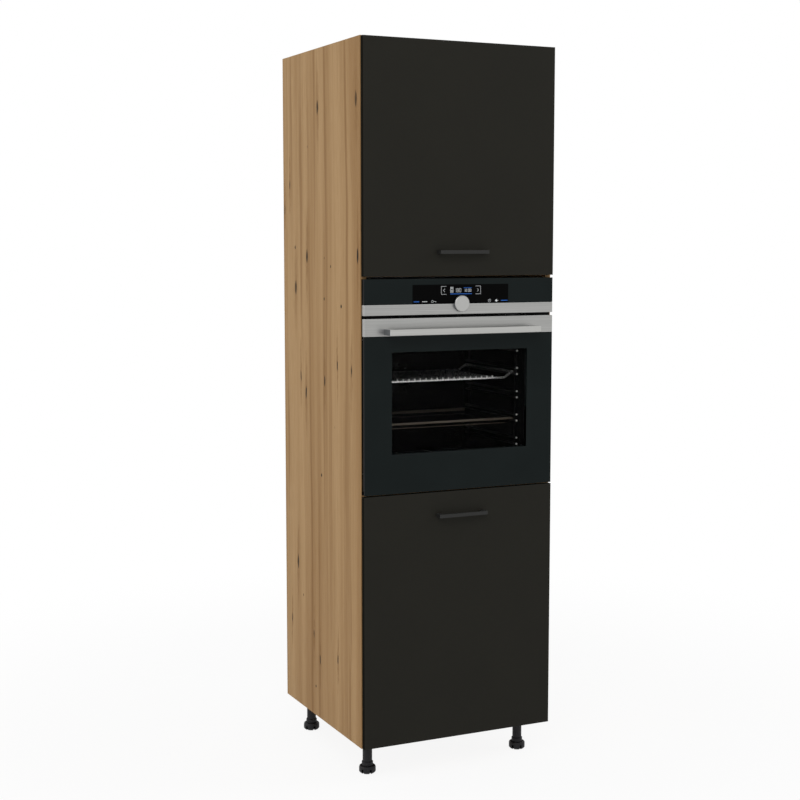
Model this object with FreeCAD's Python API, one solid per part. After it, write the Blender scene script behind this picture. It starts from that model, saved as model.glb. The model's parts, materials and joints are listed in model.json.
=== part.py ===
import FreeCAD, Part
import math
import os
from FreeCAD import Placement, Rotation, Vector

# Tall kitchen cabinet that houses a built-in oven, with a lift-up flap above and a deep pull-out below.
# X runs across, Y from front to back and Z up, in millimetres.
# The origin is on the floor, under the middle of the whole object's box.

# Carcass boards
CARCASS_W = 600.0
CARCASS_D = 580.0
CARCASS_H = 1970.0
PANEL_T = 18.0
BACK_T = 3.0
BACK_INSET = 12.0
GROOVE_DEPTH = 8.0
GROOVE_CLEAR = 0.2

# Fronts and the gaps round them
FRONT_T = 16.0
FRONT_GAP = 2.0
FRONT_EDGE_R = 1.0
REVEAL = 2.0
DRAWER_FRONT_H = 716.0
OVEN_FOOT_GAP = 4.0
OVEN_HEAD_GAP = 7.5
NICHE_LAP = 1.0

# Adjustable shelf in the upper compartment
SHELF_SETBACK = 20.0
SHELF_SIDE_CLEAR = 1.0
SHELF_BACK_CLEAR = 5.0
PIN_R = 2.5
PIN_OUT = 10.0
PIN_HOLE_DEPTH = 12.0
PIN_CLEAR = 0.05
PIN_INSET = 60.0
PIN_PITCH = 32.0
PIN_ROWS_EACH_WAY = 2

# Flats of square posts, and those that stand for a full round on wires, bars, holes, turned feet and the knob
POST_SIDES = 4
WIRE_SIDES = 6
BAR_SIDES = 12
TURNED_SIDES = 18
KNOB_SIDES = 36
BEND_STEPS = 3

# Legs and their screw feet
LEG_H = 100.0
LEG_INSET_SIDE = 53.0
LEG_INSET_FRONT = 79.0
LEG_INSET_BACK = 71.0
LEG_PLATE = 62.0
LEG_PLATE_T = 4.0
LEG_PLATE_CORNER = 8.0
LEG_TUBE_R = 13.5
LEG_COLLAR_R = 16.0
LEG_COLLAR_H = 15.5
LEG_COLLAR_CHAMFER = 1.2
FOOT_R = 23.75
FOOT_H = 22.0
FOOT_SHOULDER = 5.0
FOOT_BASE_EDGE = 4.0
FOOT_RECESS_WALL = 5.8
FOOT_RECESS_DEPTH = 4.0
FOOT_NOTCHES = 6
FOOT_NOTCH_W = 4.0
FOOT_NOTCH_H = 11.0
FOOT_NOTCH_DEPTH = 5.0
FOOT_STEM_R = 10.0
FOOT_STEM_ROOM = 14.0
FOOT_CLEAR = 0.3

# Bow handles on the two fronts
HANDLE_L = 152.0
HANDLE_H = 10.0
HANDLE_REACH = 25.0
HANDLE_BAR = 8.0
HANDLE_LEG = 14.0
HANDLE_CORNER = 1.5
HANDLE_INNER_R = 4.0
HANDLE_TO_EDGE = 66.0

# Cranked butt hinges at the top of the flap
HINGE_X = 190.0
HINGE_KNUCKLES = 3
HINGE_KNUCKLE_L = 20.0
HINGE_KNUCKLE_R = 1.9
HINGE_PIN_R = 1.0
HINGE_LEAF_T = 0.9
HINGE_LEAF_H = 38.0
HINGE_TOP_LEAF_D = 36.0
HINGE_CLEAR = 0.2
HINGE_FIT = 0.05
FLAP_OPEN = 80.0

# Gas struts of the flap
STRUT_ARM = 125.0
STRUT_FLAP_STANDOFF = 15.0
STRUT_REST_ANGLE = 70.0
STRUT_TO_SIDE = 14.0
STRUT_BARREL_R = 7.5
STRUT_WALL = 1.5
STRUT_ROD_R = 3.0
STRUT_NECK_R = 3.0
STRUT_EYE_R = 5.5
STRUT_EYE_T = 6.0
STRUT_STUD_R = 2.5
STRUT_FIT = 0.05
STRUT_END = 14.0
STRUT_CAP_T = 6.0
STRUT_PISTON_T = 5.0
STRUT_END_ROOM = 3.0
STRUT_ROD_CLEAR = 0.3
BRACKET_W = 24.0
BRACKET_H = 32.0
BRACKET_T = 2.0
BRACKET_GAP = 0.3
STUD_HEAD_R = 4.0
STUD_HEAD_T = 2.0

# Pull-out box and its three-part runners
RUNNER_W = 13.0
RUNNER_H = 45.0
RUNNER_T = 1.2
RUNNER_SET_BACK = 3.0
RUNNER_REAR_ROOM = 61.8
RUNNER_UP = 75.0
RUNNER_CLEAR = 0.5
RUNNER_MOUTH = 0.3
BOX_WALL_T = 12.0
BOX_WALL_H = 240.0
BOX_REAR_ROOM = 56.8
BOX_LIFT = 17.0
BOX_FLOOR_T = 8.0
BOX_FLOOR_UP = 10.0
RAIL_R = 5.0
RAIL_UP = 120.0
RAIL_BEND = 30.0

# Oven front, from the floor of the niche up
OVEN_SIDE_REVEAL = 3.0
DOOR_H = 487.2
DOOR_STRIP_H = 47.9
PANEL_GAP = 8.8
PANEL_STRIP_H = 29.2
CONTROL_GLASS_H = 70.3
GLASS_T = 4.0
GLASS_JOINT = 0.3
TRIM_CAP_T = 2.0
FRAME_T = 1.0
SEAL_T = 3.7
SEAL_CLEAR = 0.3
SEAL_W = 7.0
SEAL_OFFSET = 3.0
WINDOW_SIDE = 83.3
WINDOW_RISE = 110.5
WINDOW_DROP = 93.2
INNER_GLASS_LAP = 7.5
DOOR_FRAME_INSET = 1.0

# Oven door hinge
LUG_R = 2.7
LUG_CLEAR = 0.3
LUG_T = 6.0
LUG_SIDE = 35.0
LUG_NECK = 3.4
DOOR_PIN_R = 1.6
DOOR_PIN_FIT = 0.05
DOOR_SWING_CLEAR = 1.0
CHEEK_T = 2.0
CHEEK_HALF_H = 2.4

# Oven handle
OVEN_HANDLE_SIDE = 60.0
OVEN_HANDLE_H = 16.6
OVEN_HANDLE_REACH = 40.0
OVEN_HANDLE_BAR = 12.0
OVEN_HANDLE_POST = 20.0
OVEN_HANDLE_CORNER = 19.0
OVEN_HANDLE_INNER_R = 8.0
OVEN_HANDLE_DROP = 36.3

# Control panel and knob
CARRIER_SIDE = 1.0
CARRIER_EDGE = 1.0
KNOB_R = 22.7
KNOB_REACH = 10.0
KNOB_GAP = 0.4
KNOB_EDGE = 1.6
KNOB_SHAFT_R = 3.0
KNOB_SHAFT_IN = 12.0
KNOB_FIT = 0.05
KNOB_HOLE_CLEAR = 1.5

# Oven casing and cavity
CASING_SIDE_GAP = 4.0
CASING_REAR_ROOM = 43.0
CASING_T = 1.0
CASING_HEADROOM = 6.0
CAVITY_SIDE_ROOM = 43.0
CAVITY_REAR_ROOM = 125.0
CAVITY_T = 1.2
CAVITY_RISE = 50.0
CAVITY_DROP = 63.2
CAVITY_CORNER = 22.0
MOUTH_LIP = 7.0
VENT_SLOT_W = 5.0
VENT_SLOT_L = 46.0
VENT_PITCH = 21.0
VENT_COUNT = 10
OUTLET_COUNT = 6
OUTLET_L = 58.0
OUTLET_PITCH = 72.0
OUTLET_H = 4.5
INLET_X = 190.0
INLET_UP = 420.0
INLET_R = 9.0
INLET_WALL = 3.0
INLET_OUT = 12.0
SCREW_UP = (60.0, 430.0)
SCREW_HEAD_R = 4.0
SCREW_HEAD_T = 2.2
SCREW_R = 2.0
SCREW_L = 22.0
SCREW_END_ROOM = 1.0
SCREW_CLEAR = 0.05

# Ladders, rack and tray
LADDER_R = 2.5
LADDER_STANDOFF = 13.0
LADDER_POST_R = 2.8
LADDER_PEG_R = 1.8
LADDER_WELD = 0.9
LADDER_START = 52.0
LADDER_END_GAP = 40.0
LEVEL_FIRST = 58.0
LEVEL_TOP_ROOM = 42.0
LEVEL_COUNT = 5
LEVEL_GAP = 18.0
RACK_LEVEL = 3
TRAY_LEVEL = 1
RACK_FRAME_R = 3.0
RACK_WIRE_R = 1.6
RACK_WIRES = 18
RACK_WIRE_SIDE = 41.0
RACK_DROP = 16.5
RACK_CRANK = 26.0
RACK_FRONT = 78.0
RACK_INSET = 2.0
REST_GAP = 0.3
RACK_REAR_ROOM = 44.0
TRAY_DEPTH = 18.0
TRAY_T = 1.5
TRAY_RIM_H = 5.0
TRAY_RIM_W = 10.0
TRAY_OVER = 1.0
TRAY_TAPER = 6.0

# Fan, its cover and motor, and the grill element
FAN_TO_COVER_TOP = 86.0
FAN_R = 60.0
FAN_HUB_R = 9.0
FAN_BLADES = 10
FAN_BLADE_T = 1.5
FAN_BLADE_D = 12.0
FAN_BLADE_L = 32.0
FAN_BLADE_TURN = 30.0
FAN_PLATE_T = 1.5
FAN_SHAFT_R = 3.0
FAN_FIT = 0.05
FAN_WALL_GAP = 4.0
COVER_SIDE = 51.0
COVER_RISE = 40.0
COVER_DROP = 60.0
COVER_D = 26.0
COVER_T = 1.2
COVER_SLOTS = 18
COVER_SLOT_SIDE = 20.8
COVER_SLOT_W = 9.0
COVER_SLOT_H = 28.0
COVER_SLOT_DROP = 100.0
COVER_RAYS = 12
COVER_RAY_IN = 16.0
COVER_RAY_OUT = 52.0
COVER_RAY_W = 7.0
MOTOR_R = 38.0
MOTOR_L = 62.0
GRILL_R = 3.5
GRILL_RUNS = 6
GRILL_SIDE = 47.5
GRILL_DROP = 18.0
GRILL_START = 60.0

# Places worked out from the sizes above
HALF_W = CARCASS_W / 2
INNER = HALF_W - PANEL_T
FRONT_HALF = HALF_W - REVEAL
Y_FACE = -(FRONT_T + FRONT_GAP + CARCASS_D - OVEN_HANDLE_REACH) / 2
Y_FRONT_BACK = Y_FACE + FRONT_T
Y_CARCASS = Y_FRONT_BACK + FRONT_GAP
Y_REAR = Y_CARCASS + CARCASS_D
Y_GROOVE = Y_REAR - BACK_INSET - BACK_T - GROOVE_CLEAR
Z_BASE = LEG_H
Z_TOP = Z_BASE + CARCASS_H
DRAWER_Z0 = Z_BASE + REVEAL
DRAWER_Z1 = DRAWER_Z0 + DRAWER_FRONT_H
OVEN_Z0 = DRAWER_Z1 + OVEN_FOOT_GAP
OVEN_SHELF_Z = OVEN_Z0 - REVEAL
DOOR_Z1 = OVEN_Z0 + DOOR_H
STRIP_Z0 = DOOR_Z1 + PANEL_GAP
STRIP_Z1 = STRIP_Z0 + PANEL_STRIP_H
OVEN_Z1 = STRIP_Z1 + CONTROL_GLASS_H
FLAP_Z0 = OVEN_Z1 + OVEN_HEAD_GAP
FLAP_Z1 = Z_TOP - REVEAL
NICHE_TOP = FLAP_Z0 - NICHE_LAP
SHELF_Z = (NICHE_TOP + PANEL_T + Z_TOP - PANEL_T) / 2
Y_PINS = (Y_CARCASS + PIN_INSET, Y_GROOVE - PIN_INSET)
LEG_PLACES = {
    "front_left": (-HALF_W + LEG_INSET_SIDE, Y_CARCASS + LEG_INSET_FRONT),
    "front_right": (HALF_W - LEG_INSET_SIDE, Y_CARCASS + LEG_INSET_FRONT),
    "back_left": (-HALF_W + LEG_INSET_SIDE, Y_REAR - LEG_INSET_BACK),
    "back_right": (HALF_W - LEG_INSET_SIDE, Y_REAR - LEG_INSET_BACK),
}

# Flap axis and the strut's two pivots, which lie equally far from that axis
AXIS_Y = Y_CARCASS - FRONT_GAP / 2
AXIS_Z = FLAP_Z1
HINGE_HALF = HINGE_KNUCKLES * HINGE_KNUCKLE_L / 2
STRUT_X = INNER - STRUT_TO_SIDE
FLAP_PIVOT_IN = STRUT_FLAP_STANDOFF - FRONT_GAP / 2
FLAP_PIVOT_ANGLE = math.asin(FLAP_PIVOT_IN / STRUT_ARM)
SIDE_PIVOT_ANGLE = FLAP_PIVOT_ANGLE + math.radians(STRUT_REST_ANGLE)
STRUT_SHORT = 2 * STRUT_ARM * math.sin(math.radians(STRUT_REST_ANGLE) / 2)
STRUT_LONG = 2 * STRUT_ARM * math.sin(math.radians(STRUT_REST_ANGLE + FLAP_OPEN) / 2)
STRUT_PISTON_BACK = STRUT_END + STRUT_WALL + STRUT_END_ROOM
STRUT_ROD_L = STRUT_SHORT - STRUT_PISTON_BACK
STRUT_BARREL_END = STRUT_LONG - STRUT_ROD_L + STRUT_PISTON_T + STRUT_CAP_T + STRUT_END_ROOM

# Oven widths, taken from the cabinet's
OVEN_W = CARCASS_W - 2 * OVEN_SIDE_REVEAL
WINDOW_W = OVEN_W - 2 * WINDOW_SIDE
OVEN_HANDLE_L = OVEN_W - 2 * OVEN_HANDLE_SIDE
LUG_X = OVEN_W / 2 - LUG_SIDE

# Oven planes, from the face of the door back
Y_GLASS_BACK = Y_FACE + GLASS_T
Y_OVEN_FRAME = Y_CARCASS - FRAME_T
Y_DOOR_BACK = Y_OVEN_FRAME - SEAL_T - SEAL_CLEAR
DOOR_AXIS_Y = Y_GLASS_BACK + LUG_R + LUG_CLEAR
DOOR_AXIS_Z = OVEN_Z0 + (Y_OVEN_FRAME - DOOR_AXIS_Y) - DOOR_SWING_CLEAR
DOOR_FRAME_Z0 = DOOR_AXIS_Z + LUG_NECK
DOOR_STRIP_Z0 = DOOR_Z1 - DOOR_STRIP_H
WINDOW_Z0 = OVEN_Z0 + WINDOW_RISE
WINDOW_Z1 = DOOR_Z1 - WINDOW_DROP
CAVITY_Z0 = OVEN_Z0 + CAVITY_RISE
CAVITY_Z1 = DOOR_Z1 - CAVITY_DROP
CASING_HALF = INNER - CASING_SIDE_GAP
CASING_Z1 = OVEN_Z1 - CASING_HEADROOM
Y_CASING_REAR = Y_REAR - CASING_REAR_ROOM
CAVITY_HALF = CASING_HALF - CAVITY_SIDE_ROOM
Y_CAVITY_BACK = Y_CASING_REAR - CAVITY_REAR_ROOM
MOUTH_HALF = CAVITY_HALF - MOUTH_LIP
MOUTH_Z0 = CAVITY_Z0 + MOUTH_LIP
MOUTH_Z1 = CAVITY_Z1 - MOUTH_LIP
LADDER_X = CAVITY_HALF - LADDER_STANDOFF
Y_LADDER = (Y_CARCASS + LADDER_START, Y_CAVITY_BACK - LADDER_END_GAP)
LEVEL_PITCH = (CAVITY_Z1 - LEVEL_TOP_ROOM - CAVITY_Z0 - LEVEL_FIRST) / (LEVEL_COUNT - 1)
Y_RACK = Y_CARCASS + RACK_FRONT
RACK_DEPTH = Y_CAVITY_BACK - RACK_REAR_ROOM - Y_RACK
COVER_Z1 = CAVITY_Z1 - COVER_DROP
FAN_Z = COVER_Z1 - FAN_TO_COVER_TOP
COVER_HALF = CAVITY_HALF - COVER_SIDE
COVER_SLOT_PITCH = 2 * (COVER_HALF - COVER_SLOT_SIDE) / (COVER_SLOTS - 1)
GRILL_PITCH = 2 * (CAVITY_HALF - GRILL_SIDE) / (GRILL_RUNS - 1)
SCREW_X = HALF_W - PANEL_T / 2

X = Vector(1, 0, 0)
Y = Vector(0, 1, 0)
Z = Vector(0, 0, 1)
PARALLEL_ANGLE = 2.5


def box(x0, x1, y0, y1, z0, z1):
    """Block between two corners."""
    return Part.makeBox(x1 - x0, y1 - y0, z1 - z0, Vector(x0, y0, z0))


def loop(points):
    """Closed outline of straight edges."""
    return Part.makePolygon(points + points[:1])


def section(place, axis, radius, sides):
    """Corners across a unit axis whose flats touch a circle, two of them level where the axis is."""
    across = X if abs(axis.dot(Z)) > math.cos(math.radians(PARALLEL_ANGLE)) else axis.cross(Z).normalize()
    up = across.cross(axis)
    reach = radius / math.cos(math.pi / sides)
    shift = 0.5 if sides % 4 == 0 else 0
    turns = [math.tau * (index + shift) / sides for index in range(sides)]
    return [place + across * (reach * math.cos(turn)) + up * (reach * math.sin(turn)) for turn in turns]


def bar(start, run, radius, sides):
    """Straight bar, or the tool of a drilled hole, from a point along a run."""
    axis = Vector(run).normalize()
    return Part.Face(loop(section(start, axis, radius, sides))).extrude(run)


def turned(x, y, rings, sides):
    """Turned piece about an upright axis, with flat faces between rings given as radius and height."""
    loops = [section(Vector(x, y, z), Z, radius, sides) for radius, z in rings]
    faces = [Part.Face(loop(loops[0])), Part.Face(loop(loops[-1]))]
    for low, high in zip(loops, loops[1:]):
        for index in range(sides):
            after = (index + 1) % sides
            faces.append(Part.Face(loop([low[index], low[after], high[after], high[index]])))
    return Part.makeSolid(Part.makeShell(faces))


def edges_along(shape, axis):
    """Straight edges of a shape that run along an axis."""
    straight = [edge for edge in shape.Edges if isinstance(edge.Curve, Part.Line)]
    least = math.cos(math.radians(PARALLEL_ANGLE))
    return [edge for edge in straight if abs(edge.tangentAt(edge.FirstParameter).dot(axis)) > least]


def round_box(x0, x1, y0, y1, z0, z1, radius, axis):
    """Block whose four edges along one axis are rounded."""
    block = box(x0, x1, y0, y1, z0, z1)
    return block.makeFillet(radius, edges_along(block, axis))


def fuse(shapes):
    """One solid from several that touch or overlap."""
    return shapes[0].multiFuse(shapes[1:]).removeSplitter()


def extrude(points, run):
    """Straight prism of a flat polygon."""
    return Part.Face(loop(points)).extrude(run)


def pipe(points, radius, sides):
    """Tube or wire along joined straight runs, mitred where they meet."""
    axis = points[1].sub(points[0]).normalize()
    ring = loop(section(points[0], axis, radius, sides))
    right_corners = 1
    return Part.makePolygon(points).makePipeShell([ring], True, False, right_corners)


def both_sides(shape):
    """A piece of the right-hand side and its mirror image on the left."""
    return [shape, shape.mirror(Vector(0, 0, 0), X)]


def save(name, *solids):
    """Write one node, a single solid or a group of separate ones."""
    shape = solids[0] if len(solids) == 1 else Part.makeCompound(list(solids))
    shape.exportStep("parts/" + name + ".step")


def side_panel():
    """Right-hand side board with its back groove, shelf-pin holes and pilot holes for the oven."""
    board = box(INNER, HALF_W, Y_CARCASS, Y_REAR, Z_BASE, Z_TOP)
    cuts = [box(INNER, INNER + GROOVE_DEPTH, Y_GROOVE, Y_REAR - BACK_INSET, Z_BASE, Z_TOP)]
    for y in Y_PINS:
        for row in range(-PIN_ROWS_EACH_WAY, PIN_ROWS_EACH_WAY + 1):
            z = SHELF_Z - PIN_R + row * PIN_PITCH
            cuts.append(bar(Vector(INNER, y, z), X * PIN_HOLE_DEPTH, PIN_R + PIN_CLEAR, WIRE_SIDES))
    for up in SCREW_UP:
        mouth = Vector(SCREW_X, Y_CARCASS, OVEN_Z0 + up)
        cuts.append(bar(mouth, Y * SCREW_L, SCREW_R + SCREW_CLEAR, WIRE_SIDES))
    return board.cut(Part.makeCompound(cuts))


def fixed_shelf(z0):
    """Board between the sides, from the carcass front to the back panel."""
    return box(-INNER, INNER, Y_CARCASS, Y_GROOVE, z0, z0 + PANEL_T)


def top_panel():
    """Top board, notched at its front edge for the hinge knuckles."""
    reach = HINGE_KNUCKLE_R + HINGE_CLEAR
    half = HINGE_HALF + HINGE_CLEAR
    board = fixed_shelf(Z_TOP - PANEL_T)
    for x in (-HINGE_X, HINGE_X):
        board = board.cut(box(x - half, x + half, Y_CARCASS, AXIS_Y + reach, AXIS_Z - reach, Z_TOP))
    return board


def back_panel(z0, z1):
    """Thin board held in the grooves of the two sides."""
    half = INNER + GROOVE_DEPTH - GROOVE_CLEAR
    y0 = Y_GROOVE + GROOVE_CLEAR / 2
    return box(-half, half, y0, y0 + BACK_T, z0, z1)


def shelf_pins():
    """Four pins that carry the adjustable shelf."""
    pins = []
    for y in Y_PINS:
        inner_end = Vector(INNER - PIN_OUT, y, SHELF_Z - PIN_R)
        length = PIN_OUT + PIN_HOLE_DEPTH - PIN_CLEAR
        pins += both_sides(bar(inner_end, X * length, PIN_R, WIRE_SIDES))
    return pins


def save_carcass():
    """Boards, back panels and the adjustable shelf."""
    right, left = both_sides(side_panel())
    save("left_side_panel", left)
    save("right_side_panel", right)
    save("bottom_panel", fixed_shelf(Z_BASE))
    save("top_panel", top_panel())
    save("oven_shelf", fixed_shelf(OVEN_SHELF_Z - PANEL_T))
    save("middle_shelf", fixed_shelf(NICHE_TOP))
    save("upper_back_panel", back_panel(NICHE_TOP, Z_TOP))
    save("lower_back_panel", back_panel(Z_BASE, OVEN_SHELF_Z))
    half = INNER - SHELF_SIDE_CLEAR
    y0 = Y_CARCASS + SHELF_SETBACK
    y1 = Y_GROOVE - SHELF_BACK_CLEAR
    save("adjustable_shelf", box(-half, half, y0, y1, SHELF_Z, SHELF_Z + PANEL_T))
    save("shelf_pins", *shelf_pins())


def leg(x, y):
    """Plate, tube and collar of one leg, bored for the foot's stem."""
    half = LEG_PLATE / 2
    collar_z = FOOT_H - FOOT_RECESS_DEPTH + FOOT_CLEAR
    plate_z = Z_BASE - LEG_PLATE_T
    plate = box(x - half, x + half, y - half, y + half, plate_z, Z_BASE)
    plate = plate.makeChamfer(LEG_PLATE_CORNER, edges_along(plate, Z))
    collar_top = collar_z + LEG_COLLAR_H
    collar_rings = [(LEG_COLLAR_R, collar_z), (LEG_COLLAR_R, collar_top - LEG_COLLAR_CHAMFER)]
    collar_rings.append((LEG_COLLAR_R - LEG_COLLAR_CHAMFER, collar_top))
    start = Vector(x, y, collar_z)
    tube = bar(start, Z * (Z_BASE - collar_z), LEG_TUBE_R, BAR_SIDES)
    bore = bar(start, Z * (plate_z - collar_z), FOOT_STEM_R + FOOT_CLEAR, TURNED_SIDES)
    return fuse([plate, tube, turned(x, y, collar_rings, BAR_SIDES)]).cut(bore)


def foot(x, y):
    """Castellated screw foot: a turned body with a ring recess, a stem and notches round its skirt."""
    recess_r = FOOT_R - FOOT_RECESS_WALL
    recess_z = FOOT_H - FOOT_RECESS_DEPTH
    stem_z = Z_BASE - LEG_PLATE_T - FOOT_STEM_ROOM
    shoulder_in = FOOT_SHOULDER * (1 - math.sqrt(0.5))
    rings = [
        (FOOT_R - FOOT_BASE_EDGE, 0),
        (FOOT_R, FOOT_BASE_EDGE),
        (FOOT_R, FOOT_H - FOOT_SHOULDER),
        (FOOT_R - shoulder_in, FOOT_H - shoulder_in),
        (FOOT_R - FOOT_SHOULDER, FOOT_H),
    ]
    body = turned(0, 0, rings, TURNED_SIDES)
    recess_floor = Vector(0, 0, recess_z)
    body = body.cut(bar(recess_floor, Z * FOOT_RECESS_DEPTH, recess_r, TURNED_SIDES))
    half = FOOT_NOTCH_W / 2
    notches = []
    for index in range(FOOT_NOTCHES):
        notch = box(FOOT_R - FOOT_NOTCH_DEPTH, FOOT_R + FOOT_NOTCH_DEPTH, -half, half, 0, FOOT_NOTCH_H)
        notch.rotate(Vector(0, 0, 0), Z, 360.0 * (index + 0.5) / FOOT_NOTCHES)
        notches.append(notch)
    stem = bar(recess_floor, Z * (stem_z - recess_z), FOOT_STEM_R, TURNED_SIDES)
    body = fuse([body.cut(Part.makeCompound(notches)), stem])
    body.translate(Vector(x, y, 0))
    return body


def save_legs():
    """Four legs as a group, and a foot of its own for each."""
    save("legs", *[leg(x, y) for x, y in LEG_PLACES.values()])
    for place, (x, y) in LEG_PLACES.items():
        save("foot_" + place, foot(x, y))


def bow_handle(length, height, reach, grip, post, outer_r, inner_r):
    """Handle of two posts and a grip, seated on the plane of the fronts about its own mid-height."""
    half = length / 2
    back = Y_FACE
    inner = half - post
    grip_back = back - reach + grip
    outer = box(-half, half, back - reach, back, -height / 2, height / 2)
    front_edges = [edge for edge in edges_along(outer, Z) if edge.CenterOfMass.y < back - reach / 2]
    outer = outer.makeFillet(outer_r, front_edges)
    gap = box(-inner, inner, grip_back, back, -height / 2, height / 2)
    gap_edges = [edge for edge in edges_along(gap, Z) if edge.CenterOfMass.y < back - (reach - grip) / 2]
    return outer.cut(gap.makeFillet(inner_r, gap_edges))


def front_handle(z):
    """Handle of a cabinet front at a height."""
    handle = bow_handle(
        HANDLE_L, HANDLE_H, HANDLE_REACH, HANDLE_BAR, HANDLE_LEG, HANDLE_CORNER, HANDLE_INNER_R
    )
    handle.translate(Vector(0, 0, z))
    return handle


def front_panel(z0, z1):
    """Overlay front with its face edges eased."""
    board = box(-FRONT_HALF, FRONT_HALF, Y_FACE, Y_FRONT_BACK, z0, z1)
    face_edges = [edge for edge in board.Edges if edge.BoundBox.YMax < Y_FACE + FRONT_T / 2]
    return board.makeFillet(FRONT_EDGE_R, face_edges)


def flap_panel():
    """Upper front, notched at its top back corner for the hinge knuckles."""
    reach = HINGE_KNUCKLE_R + HINGE_CLEAR
    half = HINGE_HALF + HINGE_CLEAR
    board = front_panel(FLAP_Z0, FLAP_Z1)
    for x in (-HINGE_X, HINGE_X):
        board = board.cut(box(x - half, x + half, AXIS_Y - reach, Y_FRONT_BACK, AXIS_Z - reach, AXIS_Z))
    return board


def knuckle(x0, x1):
    """Barrel of a hinge round the flap's axis."""
    return bar(Vector(x0, AXIS_Y, AXIS_Z), X * (x1 - x0), HINGE_KNUCKLE_R, BAR_SIDES)


def top_hinge_leaf():
    """Fixed leaf: two outer knuckles, a strap down the front edge and a plate under the top board."""
    half = HINGE_HALF
    middle = HINGE_KNUCKLE_L / 2 + HINGE_CLEAR
    reach = HINGE_KNUCKLE_R + HINGE_CLEAR
    under = Z_TOP - PANEL_T
    x0 = HINGE_X - half
    x1 = HINGE_X + half
    strap = box(x0, x1, Y_CARCASS - HINGE_LEAF_T, Y_CARCASS, under - HINGE_LEAF_T, AXIS_Z)
    relief = box(HINGE_X - middle, HINGE_X + middle, AXIS_Y, Y_CARCASS, AXIS_Z - reach, AXIS_Z)
    plate = box(x0, x1, Y_CARCASS - HINGE_LEAF_T, Y_CARCASS + HINGE_TOP_LEAF_D, under - HINGE_LEAF_T, under)
    leaf = fuse([strap.cut(relief), plate, knuckle(x0, HINGE_X - middle), knuckle(HINGE_X + middle, x1)])
    return leaf.cut(bar(Vector(x0, AXIS_Y, AXIS_Z), X * (x1 - x0), HINGE_PIN_R + HINGE_FIT, BAR_SIDES))


def flap_hinge_leaf():
    """Moving leaf: the middle knuckle and a plate on the back of the flap."""
    half = HINGE_HALF
    middle = HINGE_KNUCKLE_L / 2
    reach = HINGE_KNUCKLE_R + HINGE_CLEAR
    y1 = Y_FRONT_BACK + HINGE_LEAF_T
    plate = box(HINGE_X - half, HINGE_X + half, Y_FRONT_BACK, y1, AXIS_Z - HINGE_LEAF_H, AXIS_Z - reach)
    tongue = box(HINGE_X - middle, HINGE_X + middle, Y_FRONT_BACK, y1, AXIS_Z - reach, AXIS_Z)
    start = Vector(HINGE_X - middle, AXIS_Y, AXIS_Z)
    bore = Part.makeCylinder(HINGE_PIN_R + HINGE_FIT, 2 * middle, start, X)
    return fuse([plate, tongue, knuckle(HINGE_X - middle, HINGE_X + middle)]).cut(bore)


def hinge_pin():
    """Pin through the three knuckles."""
    half = HINGE_HALF
    return Part.makeCylinder(HINGE_PIN_R, 2 * half, Vector(HINGE_X - half, AXIS_Y, AXIS_Z), X)


def around_axis(angle):
    """Point at the strut's arm length from the flap's axis, an angle inwards from straight down."""
    return Vector(STRUT_X, AXIS_Y + STRUT_ARM * math.sin(angle), AXIS_Z - STRUT_ARM * math.cos(angle))


FLAP_PIVOT = around_axis(FLAP_PIVOT_ANGLE)
SIDE_PIVOT = around_axis(SIDE_PIVOT_ANGLE)


def strut_eye():
    """Flat eye of a strut's end, round its own pivot at the origin, and its bore."""
    start = Vector(-STRUT_EYE_T / 2, 0, 0)
    bore = Part.makeCylinder(STRUT_STUD_R + STRUT_FIT, STRUT_EYE_T, start, X)
    return bar(start, X * STRUT_EYE_T, STRUT_EYE_R, BAR_SIDES), bore


def along_strut(shape, start, end):
    """Turn a piece built up the Z axis onto the line between two pivots."""
    shape.Placement = Placement(start, Rotation(Z, end.sub(start)))
    return shape


def strut_cylinder():
    """Barrel with a closed end, a bored cap and an eye on the side bracket's stud."""
    eye, eye_bore = strut_eye()
    bore_z = STRUT_END + STRUT_WALL
    cap_z = STRUT_BARREL_END - STRUT_CAP_T
    neck = bar(Vector(0, 0, 0), Z * STRUT_END, STRUT_NECK_R, BAR_SIDES)
    barrel = bar(Vector(0, 0, STRUT_END), Z * (STRUT_BARREL_END - STRUT_END), STRUT_BARREL_R, BAR_SIDES)
    bore = bar(Vector(0, 0, bore_z), Z * (cap_z - bore_z), STRUT_BARREL_R - STRUT_WALL, BAR_SIDES)
    rod_hole = bar(Vector(0, 0, cap_z), Z * STRUT_CAP_T, STRUT_ROD_R + STRUT_ROD_CLEAR, BAR_SIDES)
    body = fuse([eye, neck, barrel]).cut(Part.makeCompound([eye_bore, bore, rod_hole]))
    return along_strut(body, SIDE_PIVOT, FLAP_PIVOT)


def strut_rod():
    """Rod with its piston inside the barrel and an eye on the flap bracket's stud."""
    eye, eye_bore = strut_eye()
    stem = bar(Vector(0, 0, 0), Z * STRUT_ROD_L, STRUT_ROD_R, BAR_SIDES)
    piston_r = STRUT_BARREL_R - STRUT_WALL - STRUT_ROD_CLEAR
    piston = bar(Vector(0, 0, STRUT_ROD_L), Z * -STRUT_PISTON_T, piston_r, BAR_SIDES)
    body = fuse([eye, stem, piston]).cut(eye_bore)
    return along_strut(body, FLAP_PIVOT, SIDE_PIVOT)


def stud(pivot, root_x):
    """Stud from a bracket through a strut's eye, with its head on the inner side."""
    head_x = STRUT_X - STRUT_EYE_T / 2 - BRACKET_GAP - STUD_HEAD_T
    shank = Part.makeCylinder(STRUT_STUD_R, root_x - head_x, Vector(head_x, pivot.y, pivot.z), X)
    head = bar(Vector(head_x, pivot.y, pivot.z), X * STUD_HEAD_T, STUD_HEAD_R, BAR_SIDES)
    return [shank, head]


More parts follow.
